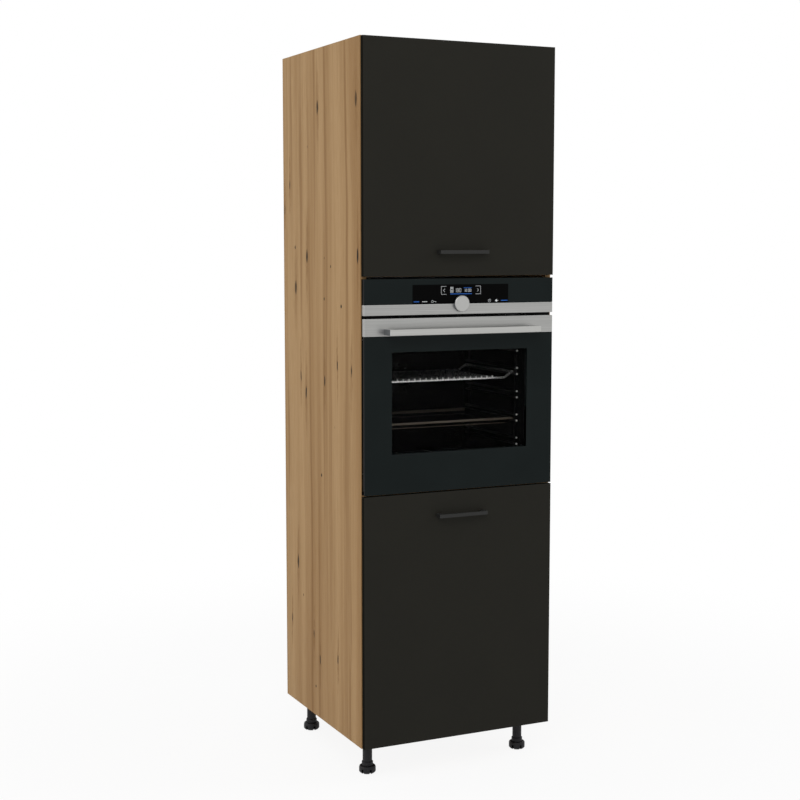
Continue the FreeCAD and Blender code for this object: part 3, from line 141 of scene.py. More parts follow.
class Graph:
    """Node tree of one material under construction."""

    MIX_INPUTS = (0, 6, 7)
    MIX_RESULT = 2

    def __init__(self, name: str) -> None:
        """Start a material with one principled surface.

        Args:
            name: Name of the material.
        """
        self.material = bpy.data.materials.new(name)
        self.material.use_nodes = True
        self.tree = self.material.node_tree
        self.tree.nodes.clear()
        self.output = self.node("ShaderNodeOutputMaterial")
        self.surface = self.node("ShaderNodeBsdfPrincipled")
        self.put(self.surface.outputs["BSDF"], self.output.inputs["Surface"])
        self.place = self.node("ShaderNodeTexCoord").outputs["Object"]

    def node(self, kind: str, **settings: Any) -> bpy.types.Node:
        """Add a node and set its properties.

        Args:
            kind: Type of the node.
            settings: Properties of the node by name.

        Returns:
            The node.
        """
        made = self.tree.nodes.new(kind)
        for key, value in settings.items():
            setattr(made, key, value)
        return made

    def put(self, value: Value, target: Socket) -> None:
        """Lead another socket into an input, or set the input to a constant.

        Args:
            value: The other socket or the constant.
            target: The input.
        """
        if isinstance(value, Socket):
            self.tree.links.new(value, target)
        else:
            target.default_value = value

    def set(self, **values: Value) -> None:
        """Feed inputs of the surface, with underscores for the spaces in their names."""
        for key, value in values.items():
            self.put(value, self.surface.inputs[key.replace("_", " ")])

    def scaled(self, scale: Corner, source: Optional[Socket] = None) -> Socket:
        """Stretch coordinates by a scale for each axis.

        Args:
            scale: The scale for each axis.
            source: The coordinates, or nothing for those of the object.

        Returns:
            The stretched coordinates.
        """
        mapping = self.node("ShaderNodeMapping")
        self.put(scale, mapping.inputs["Scale"])
        self.put(source or self.place, mapping.inputs["Vector"])
        return mapping.outputs["Vector"]

    def noise(self, place: Socket, detail: float = 2.0, rough: float = 0.5, colour: bool = False) -> Socket:
        """Add soft noise at unit scale.

        Args:
            place: Coordinates to read it at.
            detail: Number of finer layers.
            rough: Weight of the finer layers.
            colour: Whether to give the coloured output.

        Returns:
            The noise value or its colour.
        """
        made = self.node("ShaderNodeTexNoise")
        inputs = {"Scale": 1.0, "Detail": detail, "Roughness": rough, "Vector": place}
        for name, value in inputs.items():
            self.put(value, made.inputs[name])
        return made.outputs["Color" if colour else "Fac"]

    def span(self, value: Socket, low: float, high: float, start: float = 0.0, end: float = 1.0) -> Socket:
        """Map a value from one range to another, clamped and eased.

        Args:
            value: The value.
            low: Value that gives the start.
            high: Value that gives the end.
            start: Result at the low value.
            end: Result at the high value.

        Returns:
            The mapped value.
        """
        made = self.node("ShaderNodeMapRange", interpolation_type="SMOOTHSTEP")
        inputs = {"From Min": low, "From Max": high, "To Min": start, "To Max": end, "Value": value}
        for name, number in inputs.items():
            self.put(number, made.inputs[name])
        return made.outputs["Result"]

    def math(self, operation: str, first: Socket, second: Value) -> Socket:
        """Combine two numbers."""
        return self._combined("ShaderNodeMath", operation, first, second)

    def vector(self, operation: str, first: Socket, second: Value) -> Socket:
        """Combine two vectors."""
        return self._combined("ShaderNodeVectorMath", operation, first, second)

    def _combined(self, kind: str, operation: str, first: Socket, second: Value) -> Socket:
        """Combine two values by a node.

        Args:
            kind: Type of the node.
            operation: What the node does with them.
            first: The first value.
            second: The second value.

        Returns:
            The result.
        """
        made = self.node(kind, operation=operation)
        self.put(first, made.inputs[0])
        self.put(second, made.inputs[1])
        return made.outputs[0]

    def part(self, place: Socket, axis: int) -> Socket:
        """Take one of the three parts of a vector.

        Args:
            place: The vector.
            axis: Number of the part.

        Returns:
            The part.
        """
        made = self.node("ShaderNodeSeparateXYZ")
        self.put(place, made.inputs[0])
        return made.outputs[axis]

    def mix(self, share: Socket, first: Value, second: Value) -> Socket:
        """Blend two colours.

        Args:
            share: Share of the second colour.
            first: The first colour.
            second: The second colour.

        Returns:
            The blended colour.
        """
        made = self.node("ShaderNodeMix", data_type="RGBA")
        for value, index in zip((share, first, second), self.MIX_INPUTS):
            self.put(value, made.inputs[index])
        return made.outputs[self.MIX_RESULT]

    def bump(self, height: Socket, strength: float, depth: float) -> None:
        """Roughen the surface by a height pattern.

        Args:
            height: The pattern.
            strength: Share of the effect.
            depth: Depth of the pattern in metres.
        """
        made = self.node("ShaderNodeBump")
        for name, value in {"Strength": strength, "Distance": depth, "Height": height}.items():
            self.put(value, made.inputs[name])
        self.set(Normal=made.outputs["Normal"])


@dataclass(frozen=True)
class Layer:
    """Layer of soft noise in a grain, and the span of the noise that shows, up to a share.

    The scales are in cells to the metre over the grain and along it.
    """

    over: float
    along: float
    detail: float
    rough: float
    low: float
    high: float
    share: float


@dataclass(frozen=True)
class Spots:
    """Scatter of pointed spots in a board, in cells to the metre over and along the grain.

    The chance is the share of cells left bare, the halves are a spot's size in cells, and the core is
    the share of its reach that is not faded.
    """

    over: float
    along: float
    chance: float
    half_over: float
    half_along: float
    core: float = 0.45


@dataclass(frozen=True)
class Oak:
    """Oak-grain laminate: soft bands, brown streaks, fine fibres, and slim dark knots with tails."""

    name: str
    grain: Grain
    light: Colour = linear(175, 143, 103)
    mid: Colour = linear(155, 122, 83)
    brown: Colour = linear(122, 87, 48)
    knot: Colour = linear(15, 10, 7)
    bands: Layer = Layer(13.0, 0.3, 1.0, 0.5, 0.34, 0.66, 1.0)
    streaks: Layer = Layer(34.0, 0.45, 1.0, 0.5, 0.50, 0.76, 0.58)
    lines: Layer = Layer(240.0, 1.6, 3.0, 0.6, 0.45, 0.75, 0.24)
    fibres: Layer = Layer(900.0, 14.0, 2.0, 0.5, 0.40, 0.80, 0.20)
    knots: Spots = Spots(22.0, 2.2, 0.75, 0.14, 0.050)
    tails: Spots = Spots(22.0, 2.2, 0.75, 0.36, 0.36, -0.5)
    dots: Spots = Spots(40.0, 12.0, 0.97, 0.16, 0.07)
    tail_share: float = 0.8
    drift: float = 0.035
    fray: float = 1.3

    def material(self) -> Material:
        """Build the finish.

        Returns:
            The material.
        """
        g = Graph(self.name)
        place = self._bent(g)
        fibres = self._noise(g, place, self.fibres)
        colour = self._tinted(g, self._noise(g, place, self.bands), self.bands, self.mid, self.light)
        for layer in (self.streaks, self.lines):
            colour = self._tinted(g, self._noise(g, place, layer), layer, colour, self.brown)
        colour = self._tinted(g, fibres, self.fibres, colour, self.brown)
        tails = g.math("MULTIPLY", self._spotted(g, place, self.tails), self.tail_share)
        colour = g.mix(tails, colour, self.brown)
        for spots in (self.knots, self.dots):
            colour = g.mix(self._spotted(g, place, spots), colour, self.knot)
        g.set(Base_Color=colour, Roughness=g.span(fibres, 0.2, 0.8, 0.50, 0.66), Specular_IOR_Level=0.07)
        g.bump(fibres, 0.25, 0.15 * MM)
        return g.material

    def _bent(self, g: Graph) -> Socket:
        """Let the coordinates wander a little, so that no line of the grain is quite straight.

        Args:
            g: Graph of the material.

        Returns:
            The coordinates.
        """
        drift = g.noise(g.scaled(self.grain.stretch(5.0, 1.4)), 2.0, 0.5, True)
        centred = g.vector("SUBTRACT", drift, (0.5, 0.5, 0.5))
        return g.vector("ADD", g.place, g.vector("MULTIPLY", centred, (self.drift,) * 3))

    def _noise(self, g: Graph, place: Socket, layer: Layer) -> Socket:
        """Noise of one layer of the grain."""
        stretch = self.grain.stretch(layer.over, layer.along)
        return g.noise(g.scaled(stretch, place), layer.detail, layer.rough)

    @staticmethod
    def _tinted(g: Graph, noise: Socket, layer: Layer, colour: Value, tint: Colour) -> Socket:
        """Colour with a tint where the noise of a layer shows."""
        return g.mix(g.span(noise, layer.low, layer.high, 0.0, layer.share), colour, tint)

    def _spotted(self, g: Graph, place: Socket, spots: Spots) -> Socket:
        """Scatter spots in the depth of the board and along its grain.

        Args:
            g: Graph of the material.
            place: Coordinates in the board.
            spots: The scatter.

        Returns:
            Share of the spots' colour.
        """
        flat = g.node("ShaderNodeCombineXYZ")
        for index, (axis, scale) in enumerate(((Grain.DEEP, spots.over), (self.grain, spots.along))):
            g.put(g.math("MULTIPLY", g.part(place, axis.value), scale), flat.inputs[index])
        cells = g.node("ShaderNodeTexVoronoi", voronoi_dimensions="2D")
        g.put(1.0, cells.inputs["Scale"])
        g.put(flat.outputs[0], cells.inputs["Vector"])
        off = g.vector("SUBTRACT", flat.outputs[0], cells.outputs["Position"])
        off = g.vector("DIVIDE", off, (spots.half_over, spots.half_along, 1.0))
        random = g.node("ShaderNodeSeparateColor")
        g.put(cells.outputs["Color"], random.inputs[0])
        chosen, size, depth = random.outputs
        ragged = g.noise(g.scaled(self.grain.stretch(210.0, 45.0), place), 2.0)
        fray = g.math("MULTIPLY", g.math("SUBTRACT", ragged, 0.5), self.fray)
        across = g.math("ABSOLUTE", g.part(off, 0), 0.0)
        up = g.part(off, 1)
        reach = g.math("ADD", g.math("ADD", across, g.math("MULTIPLY", up, up)), fray)
        reach = g.math("MULTIPLY", reach, g.span(size, 0.0, 1.0, 0.7, 1.9))
        inside = g.span(reach, spots.core, 1.1, 1.0, 0.0)
        inside = g.math("MULTIPLY", inside, g.span(depth, 0.0, 0.5, 0.72, 1.0))
        return g.math("MULTIPLY", inside, g.span(chosen, spots.chance, spots.chance + 0.01))


@dataclass(frozen=True)
class Speckled:
    """Even finish with a fine grain in colour, gloss and surface, for boards, coats and mouldings.

    Grains and patches are counted to the metre, and the depth of a pit is in metres.
    """

    name: str
    colour: Colour
    deep: Colour
    grains: float = 900.0
    rough: float = 0.5
    gloss: float = 0.1
    metal: float = 0.0
    pit: float = 0.04 * MM
    patches: float = 6.0

    def material(self) -> Material:
        """Build the finish.

        Returns:
            The material.
        """
        g = Graph(self.name)
        fine = g.noise(g.scaled((self.grains,) * 3), 3.0, 0.6)
        broad = g.noise(g.scaled((self.patches,) * 3), 2.0)
        patch = g.mix(g.span(broad, 0.3, 0.7, 0.0, 0.35), self.colour, self.deep)
        g.set(
            Base_Color=g.mix(g.span(fine, 0.35, 0.7, 0.0, 0.6), patch, self.deep),
            Roughness=g.span(fine, 0.3, 0.7, self.rough - 0.05, self.rough + 0.05),
            Specular_IOR_Level=self.gloss,
            Metallic=self.metal,
        )
        g.bump(fine, 0.3, self.pit)
        return g.material


@dataclass(frozen=True)
class Brushed:
    """Steel brushed along one direction, with long fine scratches."""

    name: str
    grain: Grain
    bright: Colour = linear(172, 172, 170)
    dull: Colour = linear(152, 152, 150)
    rough: float = 0.34

    def material(self) -> Material:
        """Build the finish.

        Returns:
            The material.
        """
        g = Graph(self.name)
        lines = g.noise(g.scaled(self.grain.stretch(520.0, 3.0)), 4.0, 0.65)
        clouds = g.noise(g.scaled(self.grain.stretch(60.0, 2.0)), 2.0)
        tone = g.mix(g.span(lines, 0.3, 0.7), self.dull, self.bright)
        g.set(
            Base_Color=g.mix(g.span(clouds, 0.35, 0.7, 0.0, 0.4), tone, self.dull),
            Roughness=g.span(lines, 0.25, 0.75, self.rough - 0.06, self.rough + 0.06),
            Metallic=1.0,
        )
        g.bump(lines, 0.15, 0.03 * MM)
        return g.material


@dataclass(frozen=True)
class Spun:
    """Turned steel face whose fine rings lie round one axis along the depth."""

    name: str
    centre: Corner
    bright: Colour = linear(184, 184, 182)
    dull: Colour = linear(168, 168, 166)
    rings: float = 190.0
    waver: float = 1.5

    def material(self) -> Material:
        """Build the finish.

        Returns:
            The material.
        """
        g = Graph(self.name)
        moved = g.node("ShaderNodeMapping")
        g.put(tuple(-value for value in self.centre), moved.inputs["Location"])
        g.put(g.place, moved.inputs["Vector"])
        turned = g.node("ShaderNodeTexWave", wave_type="RINGS", rings_direction="Y")
        centred = moved.outputs["Vector"]
        inputs = {"Scale": self.rings, "Distortion": self.waver, "Detail": 3.0, "Vector": centred}
        for name, value in inputs.items():
            g.put(value, turned.inputs[name])
        ring = turned.outputs["Fac"]
        g.set(
            Base_Color=g.mix(ring, self.dull, self.bright),
            Roughness=g.span(ring, 0.0, 1.0, 0.30, 0.40),
            Metallic=1.0,
        )
        return g.material


@dataclass(frozen=True)
class Printed:
    """Glass with a dark print behind it: deep, even and polished, with faint ripples."""

    name: str
    colour: Colour
    deep: Colour
    gloss: float = 0.06
    clouds: float = 5.0

    def material(self) -> Material:
        """Build the finish.

        Returns:
            The material.
        """
        g = Graph(self.name)
        cloud = g.noise(g.scaled((self.clouds,) * 3), 3.0)
        g.set(
            Base_Color=g.mix(g.span(cloud, 0.3, 0.7), self.deep, self.colour),
            Roughness=g.span(cloud, 0.2, 0.8, 0.04, 0.07),
            Specular_IOR_Level=self.gloss,
        )
        g.bump(cloud, 0.02, 0.2 * MM)
        return g.material


@dataclass(frozen=True)
class Pane:
    """See-through glass with a smoky tint and a trace of dust."""

    name: str
    colour: Colour
    alpha: float
    gloss: float = 0.15
    dust: float = 60.0

    def material(self) -> Material:
        """Build the finish.

        Returns:
            The material.
        """
        g = Graph(self.name)
        dust = g.noise(g.scaled((self.dust,) * 3), 3.0)
        g.set(
            Base_Color=g.mix(g.span(dust, 0.3, 0.7), dimmed(self.colour, 0.7), self.colour),
            Roughness=g.span(dust, 0.3, 0.8, 0.02, 0.05),
            Alpha=self.alpha,
            Specular_IOR_Level=self.gloss,
        )
        return g.material


@dataclass(frozen=True)
class Glow:
    """Lit print of the control panel, with the fine raster of a display."""

    name: str
    colour: Colour
    strength: float
    raster: float = 2500.0

    def material(self) -> Material:
        """Build the finish.

        Returns:
            The material.
        """
        g = Graph(self.name)
        raster = g.noise(g.scaled((self.raster,) * 3), 0.0)
        shade = g.mix(raster, dimmed(self.colour, 0.8), self.colour)
        g.set(
            Base_Color=shade,
            Emission_Color=shade,
            Emission_Strength=self.strength,
            Roughness=0.4,
            Specular_IOR_Level=0.05,
        )
        return g.material


class Finishes:
    """Every finish of the object, built once."""

    def __init__(self) -> None:
        """Build the materials."""
        coat = self._coat
        self.oak_upright = Oak("oak_upright", Grain.UPRIGHT).material()
        self.oak_across = Oak("oak_across", Grain.ACROSS).material()
        self.front = coat("dark_front", (35, 34, 29), (31, 30, 26), 700.0, 0.5, 0.08)
        self.front_edge = coat("dark_edge", (28, 27, 23), (24, 23, 20), 700.0, 0.9, 0.0)
        self.hardboard = coat("white_hardboard", (212, 209, 202), (198, 194, 186), 300.0, 0.6)
        self.drawer_board = coat("grey_board", (202, 200, 196), (190, 188, 184), 500.0, 0.5)
        self.black_coat = coat("black_coat", (40, 40, 39), (28, 28, 27), 1200.0, 0.45, 0.25)
        self.black_moulding = coat("black_moulding", (33, 33, 35), (24, 24, 26), 800.0, 0.5, 0.2)
        self.rubber = coat("grey_seal", (38, 38, 37), (26, 26, 25), 600.0, 0.8, 0.1)
        # Black enamel of the oven's inside; the same black is also painted shade on glass edges, trim tops,
        # moulding ends, foot notches and the tray.
        self.enamel_and_painted_shade = coat("black_enamel", (6, 6, 6), (3, 3, 3), 1500.0, 0.35, 0.06)
        self.tray_enamel = coat("grey_enamel", (104, 94, 82), (84, 76, 66), 1500.0, 0.35, 0.2)
        self.teal_coat = coat("dark_coat", (23, 28, 28), (18, 23, 23), 1200.0, 0.45, 0.1)
        self.zinc = coat("plated_steel", (176, 178, 182), (150, 152, 156), 240.0, 0.36, 0.5, 1.0)
        # Galvanised plate darkened as painted shade, for the oven's top casing in the gap above it.
        self.painted_shade_plate = coat("painted_shade_plate", (62, 63, 65), (50, 51, 53), 240.0, 0.85, 0.1, 0.3)
        self.chrome = coat("chromed_wire", (232, 232, 232), (214, 214, 215), 500.0, 0.14, 0.5, 1.0)
        self.rack_wire = coat("rack_wire", (236, 236, 234), (220, 220, 219), 500.0, 0.26, 0.5, 0.85)
        # Near-white finish for the domes on the wires' ends, a painted glint of light on chromed wire.
        self.painted_glint_end = coat("painted_glint_end", (252, 252, 250), (244, 244, 242), 500.0, 0.3, 0.5, 0.1)
        self.dull_wire = coat("dull_wire", (70, 70, 70), (52, 52, 52), 500.0, 0.3, 0.5, 1.0)
        self.steel = Brushed("brushed_steel", Grain.ACROSS).material()
        bright, dull = linear(185, 185, 182), linear(175, 175, 172)
        self.grip_steel = Brushed("grip_steel", Grain.ACROSS, bright, dull).material()
        # Lighter copy of the brushed steel, a painted highlight on the level eased edges of the strips.
        bright, dull = linear(226, 226, 224), linear(212, 212, 210)
        self.painted_highlight_steel = Brushed("painted_highlight_steel", Grain.ACROSS, bright, dull, 0.25).material()
        # Darker, bluer copy of the brushed steel, painted shade on the side faces of handle, knob and strip
        # ends.
        bright, dull = linear(136, 139, 142), linear(118, 121, 125)
        self.painted_shade_steel = Brushed("painted_shade_steel", Grain.UPRIGHT, bright, dull).material()
        self.print_teal = Printed("dark_print", linear(23, 29, 29), linear(20, 26, 26)).material()
        self.print_black = Printed("black_print", linear(7, 7, 7), linear(5, 5, 5), 0.02).material()
        self.window = Pane("window_glass", linear(6, 7, 7), 0.06).material()
        self.inner_pane = Pane("inner_glass", linear(8, 8, 8), 0.03).material()
        self.pale_mark = Glow("pale_print", linear(205, 208, 210), 0.38).material()
        self.blue_mark = Glow("blue_print", linear(45, 95, 175), 0.45).material()

    @staticmethod
    def _coat(name: str, colour: Corner, deep: Corner, *feel: float) -> Material:
        """Speckled finish from two display colours and its grains, roughness, gloss and metal."""
        return Speckled(name, linear(*colour), linear(*deep), *feel).material()


def in_scene(name: str, data: bpy.types.ID) -> Piece:
    """Put a mesh, a lamp or a camera into the scene.

    Args:
        name: Name of the object.
        data: What the object shows.

    Returns:
        The object.
    """
    made = bpy.data.objects.new(name, data)
    bpy.context.scene.collection.objects.link(made)
    return made


def link_piece(name: str, mesh: Mesh, material: Material) -> Piece:
    """Put a mesh into the scene as a piece with one finish.

    Args:
        name: Name of the piece.
        mesh: Its mesh.
        material: Its finish.

    Returns:
        The piece, not yet mounted.
    """
    mesh.materials.clear()
    mesh.materials.append(material)
    return in_scene(name, mesh)


def mount(piece: Piece, body: Body | str, nodes: Sequence[str] = ()) -> Piece:
    """Let a piece ride on a body and the nodes that it stands for.

    Args:
        piece: The finished piece.
        body: The body that carries it.
        nodes: Nodes of the frame that it replaces.

    Returns:
        The same piece.
    """
    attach(piece, body.value if isinstance(body, Body) else body)
    if nodes:
        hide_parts(*nodes)
    return piece


def paint(material: Material, *nodes: str) -> None:
    """Give nodes of the frame a finish in place of their plain one.

    Args:
        material: The finish.
        nodes: Names of the nodes.
    """
    for name in nodes:
        node = frame["nodes"][name]
        node.data.materials.clear()
        node.data.materials.append(material)
        LOG.info("node %s takes %s", name, material.name)


def made_mesh(name: str, bm: bmesh.types.BMesh) -> Mesh:
    """Turn a mesh under construction into a finished one.

    Args:
        name: Name of the mesh.
        bm: The mesh under construction, which is freed.

    Returns:
        The finished mesh.
    """
    mesh = bpy.data.meshes.new(name)
    bm.to_mesh(mesh)
    bm.free()
    return mesh


def settled(holder: Piece) -> Mesh:
    """Work out the modifiers of an object and take it away.

    Args:
        holder: The object.

    Returns:
        The plain mesh that its modifiers give.
    """
    graph = bpy.context.evaluated_depsgraph_get()
    mesh = bpy.data.meshes.new_from_object(holder.evaluated_get(graph))
    holder.modifiers.clear()
    bpy.data.objects.remove(holder)
    return mesh


def prism(bm: bmesh.types.BMesh, first: Iterable[Corner], second: Iterable[Corner]) -> None:
    """Add a closed solid between two like outlines.

    Args:
        bm: The mesh under construction.
        first: Corners of one end.
        second: Corners of the other end, in the same order.
    """
    near, far = ([bm.verts.new(corner) for corner in outline] for outline in (first, second))
    bm.faces.new(near)
    bm.faces.new(far)
    for index, corner in enumerate(near):
        bm.faces.new((near[index - 1], corner, far[index], far[index - 1]))


def plates(
    name: str, outlines: Iterable[Sequence[Point]], face: float, depth: float, material: Material
) -> Piece:
    """Make one piece from flat plates that stand on an upright plane.

    Args:
        name: Name of the piece.
        outlines: Corners of each plate as x and z, in metres.
        face: Depth of the plane that the plates stand on.
        depth: Thickness of the plates towards the front.
        material: Finish of the piece.

    Returns:
        The piece, not yet mounted.
    """
    bm = bmesh.new()
    for outline in outlines:
        prism(bm, [(x, face, z) for x, z in outline], [(x, face - depth, z) for x, z in outline])
    bmesh.ops.recalc_face_normals(bm, faces=bm.faces)
    return link_piece(name, made_mesh(name, bm), material)


def stroke(start: Point, end: Point, width: float) -> list[Point]:
    """Outline a straight stroke with square ends.

    Args:
        start: Where the stroke starts.
        end: Where it ends.
        width: Its width.

    Returns:
        Its four corners.
    """
    run = Vector((end[0] - start[0], end[1] - start[1])).normalized() * (width / 2)
    side = Vector((-run.y, run.x))
    first = Vector(start) - run
    last = Vector(end) + run
    return [tuple(corner) for corner in (first - side, last - side, last + side, first + side)]


def ring(centre: Point, radius: float, width: float, sides: int = 16) -> list[list[Point]]:
    """Outline the strokes of a round sign.

    Args:
        centre: Middle of the sign.
        radius: Its radius.
        width: Width of a stroke.
        sides: Number of strokes.

    Returns:
        The corners of each stroke.
    """
    turns = [math.tau * step / sides for step in range(sides)]
    points = [(centre[0] + radius * math.cos(turn), centre[1] + radius * math.sin(turn)) for turn in turns]
    return [stroke(points[index - 1], point, width) for index, point in enumerate(points)]


def ease_edges(bm: bmesh.types.BMesh, width: float, sharp: float = 40.0) -> None:
    """Ease every real edge of a mesh.

    Args:
        bm: The mesh under construction.
        width: Width of an eased edge in metres.
        sharp: Least turn in degrees of a real edge.
    """
    limit = math.radians(sharp)
    edges = [edge for edge in bm.edges if edge.is_manifold and edge.calc_face_angle() > limit]
    bmesh.ops.bevel(
        bm, geom=edges, offset=width, segments=2, profile=0.5, affect="EDGES", clamp_overlap=True
    )


def smooth_curves(bm: bmesh.types.BMesh, bend: float, flat_ratio: float = 8.0) -> None:
    """Smooth the curved parts of a mesh and leave its flat faces flat.

    Args:
        bm: The mesh under construction.
        bend: Largest turn in degrees between two faces of one curve.
        flat_ratio: How many times larger than its neighbour a flat face is at least.
    """
    limit = math.radians(bend)
    for face in bm.faces:
        face.smooth = True
    for edge in bm.edges:
        if edge.is_manifold:
            small, large = sorted(face.calc_area() for face in edge.link_faces)
            edge.smooth = edge.calc_face_angle() <= limit and large <= flat_ratio * small


def less(mesh: Mesh, tool: Mesh) -> Mesh:
    """Take the shape of a tool away from a mesh.

    Args:
        mesh: The mesh, which the result takes the place of.
        tool: The tool, which is used up.

    Returns:
        What is left.
    """
    body, cutter = (in_scene(part.name, part) for part in (mesh, tool))
    cut = body.modifiers.new("cut", "BOOLEAN")
    cut.operation = "DIFFERENCE"
    cut.solver = "EXACT"
    cut.object = cutter
    left = settled(body)
    bpy.data.objects.remove(cutter)
    name = mesh.name
    for part in (mesh, tool):
        bpy.data.meshes.remove(part)
    left.name = name
    return left


def eased(
    node: str,
    material: Material,
    width: float = 0.0,
    bend: float = 35.0,
    cuts: Sequence[float] = (),
    tool: Optional[Mesh] = None,
) -> Piece:
    """Copy a node with merged corners, eased edges and smooth curves, to stand for the node.

    Args:
        node: Name of the node.
        material: Finish of the piece.
        width: Width of the eased edges in metres, or 0 to only smooth the curves.
        bend: Largest turn in degrees between two faces of one curve.
        cuts: Heights at which the faces are divided, so that a finish can end there.
        tool: Shape that is taken away from the copy.

    Returns:
        The mounted piece.
    """
    same_place = 0.02 * MM
    same_plane = math.radians(0.5)
    source = frame["nodes"][node]
    bm = bmesh.new()
    bm.from_mesh(source.data)
    bmesh.ops.remove_doubles(bm, verts=bm.verts, dist=same_place)
    bmesh.ops.dissolve_limit(bm, angle_limit=same_plane, verts=bm.verts, edges=bm.edges)
    if width:
        ease_edges(bm, width)
    for height in cuts:
        every = [*bm.verts, *bm.edges, *bm.faces]
        bmesh.ops.bisect_plane(bm, geom=every, plane_co=(0.0, 0.0, height), plane_no=(0.0, 0.0, 1.0))
    smooth_curves(bm, bend)
    mesh = made_mesh(node + "_dressed", bm)
    if "custom_normal" in mesh.attributes:
        mesh.attributes.remove(mesh.attributes["custom_normal"])
    if tool:
        mesh = less(mesh, tool)
    return mount(link_piece(mesh.name, mesh, material), source["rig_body"], [node])


def finish_faces(piece: Piece, material: Material, chosen: Callable[[Face], bool]) -> None:
    """Give some faces of a piece a finish of their own.

    Args:
        piece: The piece.
        material: The finish.
        chosen: Whether a face takes it.
    """
    piece.data.materials.append(material)
    for face in piece.data.polygons:
        if chosen(face):
            face.material_index = len(piece.data.materials) - 1


def on_eased_edge(face: Face) -> bool:
    """Whether a face lies on an eased edge that runs level."""
    return LEANING < abs(face.normal.z) < FLAT


def front_board(node: str, finishes: Finishes) -> None:
    """Dress a cabinet front: its face and the matt band on its edges."""
    board = eased(node, finishes.front)
    finish_faces(board, finishes.front_edge, lambda face: abs(face.normal.y) < ASIDE)


def backing(node: str, finishes: Finishes, strip: Point, outer: float = 0.29) -> None:
    """Dress the moulding behind a front: its ends take black as painted shade, and darker steel as painted
    shade where a strip runs.

    Args:
        node: Name of the moulding.
        finishes: Finishes of the object.
        strip: Lower and upper edge of the steel strip.
        outer: Least distance of an end from the middle.
    """
    low, high = strip
    piece = eased(node, finishes.teal_coat, cuts=strip)

    def at_end(face: Face) -> bool:
        """Whether a face closes the left or right end."""
        return abs(face.normal.x) > SQUARE and abs(face.center.x) > outer

    # Painted shade: the ends take black, and darker steel between the strip's edges.
    finish_faces(piece, finishes.enamel_and_painted_shade, at_end)
    finish_faces(piece, finishes.painted_shade_steel, lambda face: at_end(face) and low < face.center.z < high)


class Repeats:
    """Small shape set on points by a geometry tree, turned along the facing of each point."""

    name: str = "repeats"
    slot: str = "zinc_steel"

    def __init__(self, material: Material) -> None:
        """Build the tree.

        Args:
            material: Finish of the shapes.
        """
        self.material = material
        self.tree = bpy.data.node_groups.new(self.name, "GeometryNodeTree")
        face = self.tree.interface
        face.new_socket("Points", in_out="INPUT", socket_type="NodeSocketGeometry")
        self.inputs = {}
        for label, kind in (("Radius", "Float"), ("Height", "Float"), ("Finish", "Material")):
            made = face.new_socket(label, in_out="INPUT", socket_type="NodeSocket" + kind)
            self.inputs[label] = made.identifier
        face.new_socket("Pieces", in_out="OUTPUT", socket_type="NodeSocketGeometry")
        self._wire()

    def _node(self, kind: str, **sources: Socket) -> bpy.types.Node:
        """Add a node and lead sockets into its inputs.

        Args:
            kind: Type of the node.
            sources: Socket for each input, with underscores for the spaces in the inputs' names.

        Returns:
            The node.
        """
        made = self.tree.nodes.new(kind)
        for label, source in sources.items():
            self.tree.links.new(source, made.inputs[label.replace("_", " ")])
        return made

    def _times(self, value: Socket, factor: float) -> Socket:
        """Multiply a value by a fixed factor.

        Args:
            value: The value.
            factor: The factor.

        Returns:
            The product.
        """
        made = self.tree.nodes.new("ShaderNodeMath")
        made.operation = "MULTIPLY"
        self.tree.links.new(value, made.inputs[0])
        made.inputs[1].default_value = factor
        return made.outputs[0]

    def _shape(self, radius: Socket, height: Socket) -> Socket:
        """Build the mesh of one shape, standing along z.

        Args:
            radius: Radius of the shape.
            height: Height of the shape.

        Returns:
            The mesh socket.
        """
        raise NotImplementedError

    def _wire(self) -> None:
        """Join the nodes: the shape on each point along its facing, made real and given its finish."""
        start = self._node("NodeGroupInput").outputs
        shape = self._shape(start["Radius"], start["Height"])
        facing = self._node("GeometryNodeInputNamedAttribute")
        facing.data_type = "FLOAT_VECTOR"
        facing.inputs["Name"].default_value = "facing"
        aim = self._node("FunctionNodeAlignRotationToVector", Vector=facing.outputs["Attribute"])
        aim.axis = "Z"
        turn = aim.outputs["Rotation"]
        spread = self._node(
            "GeometryNodeInstanceOnPoints", Points=start["Points"], Instance=shape, Rotation=turn
        )
        real = self._node("GeometryNodeRealizeInstances", Geometry=spread.outputs[0])
        dress = self._node("GeometryNodeSetMaterial", Geometry=real.outputs[0], Material=start["Finish"])
        self._node("NodeGroupOutput", Pieces=dress.outputs[0])

    def place(self, name: str, body: Body, points: Sequence[Aimed], radius: float, height: float) -> Piece:
        """Set shapes on points and turn them into one plain piece.

        Args:
            name: Name of the piece.
            body: Body that carries the shapes.
            points: Pairs of a place and the direction that the shape faces.
            radius: Radius of a shape in metres.
            height: Height of a shape in metres.

        Returns:
            The mounted piece.
        """
        seed = bpy.data.meshes.new(name + "_points")
        seed.from_pydata([place for place, _ in points], [], [])
        facing = seed.attributes.new("facing", "FLOAT_VECTOR", "POINT")
        facing.data.foreach_set("vector", [part for _, way in points for part in way])
        holder = in_scene(name + "_points", seed)
        modifier = holder.modifiers.new("shapes", "NODES")
        modifier.node_group = self.tree
        for label, value in (("Radius", radius), ("Height", height), ("Finish", self.material)):
            modifier[self.inputs[label]] = value
        mesh = settled(holder)
        mesh.name = name
        return mount(link_piece(name, mesh, self.material), body)


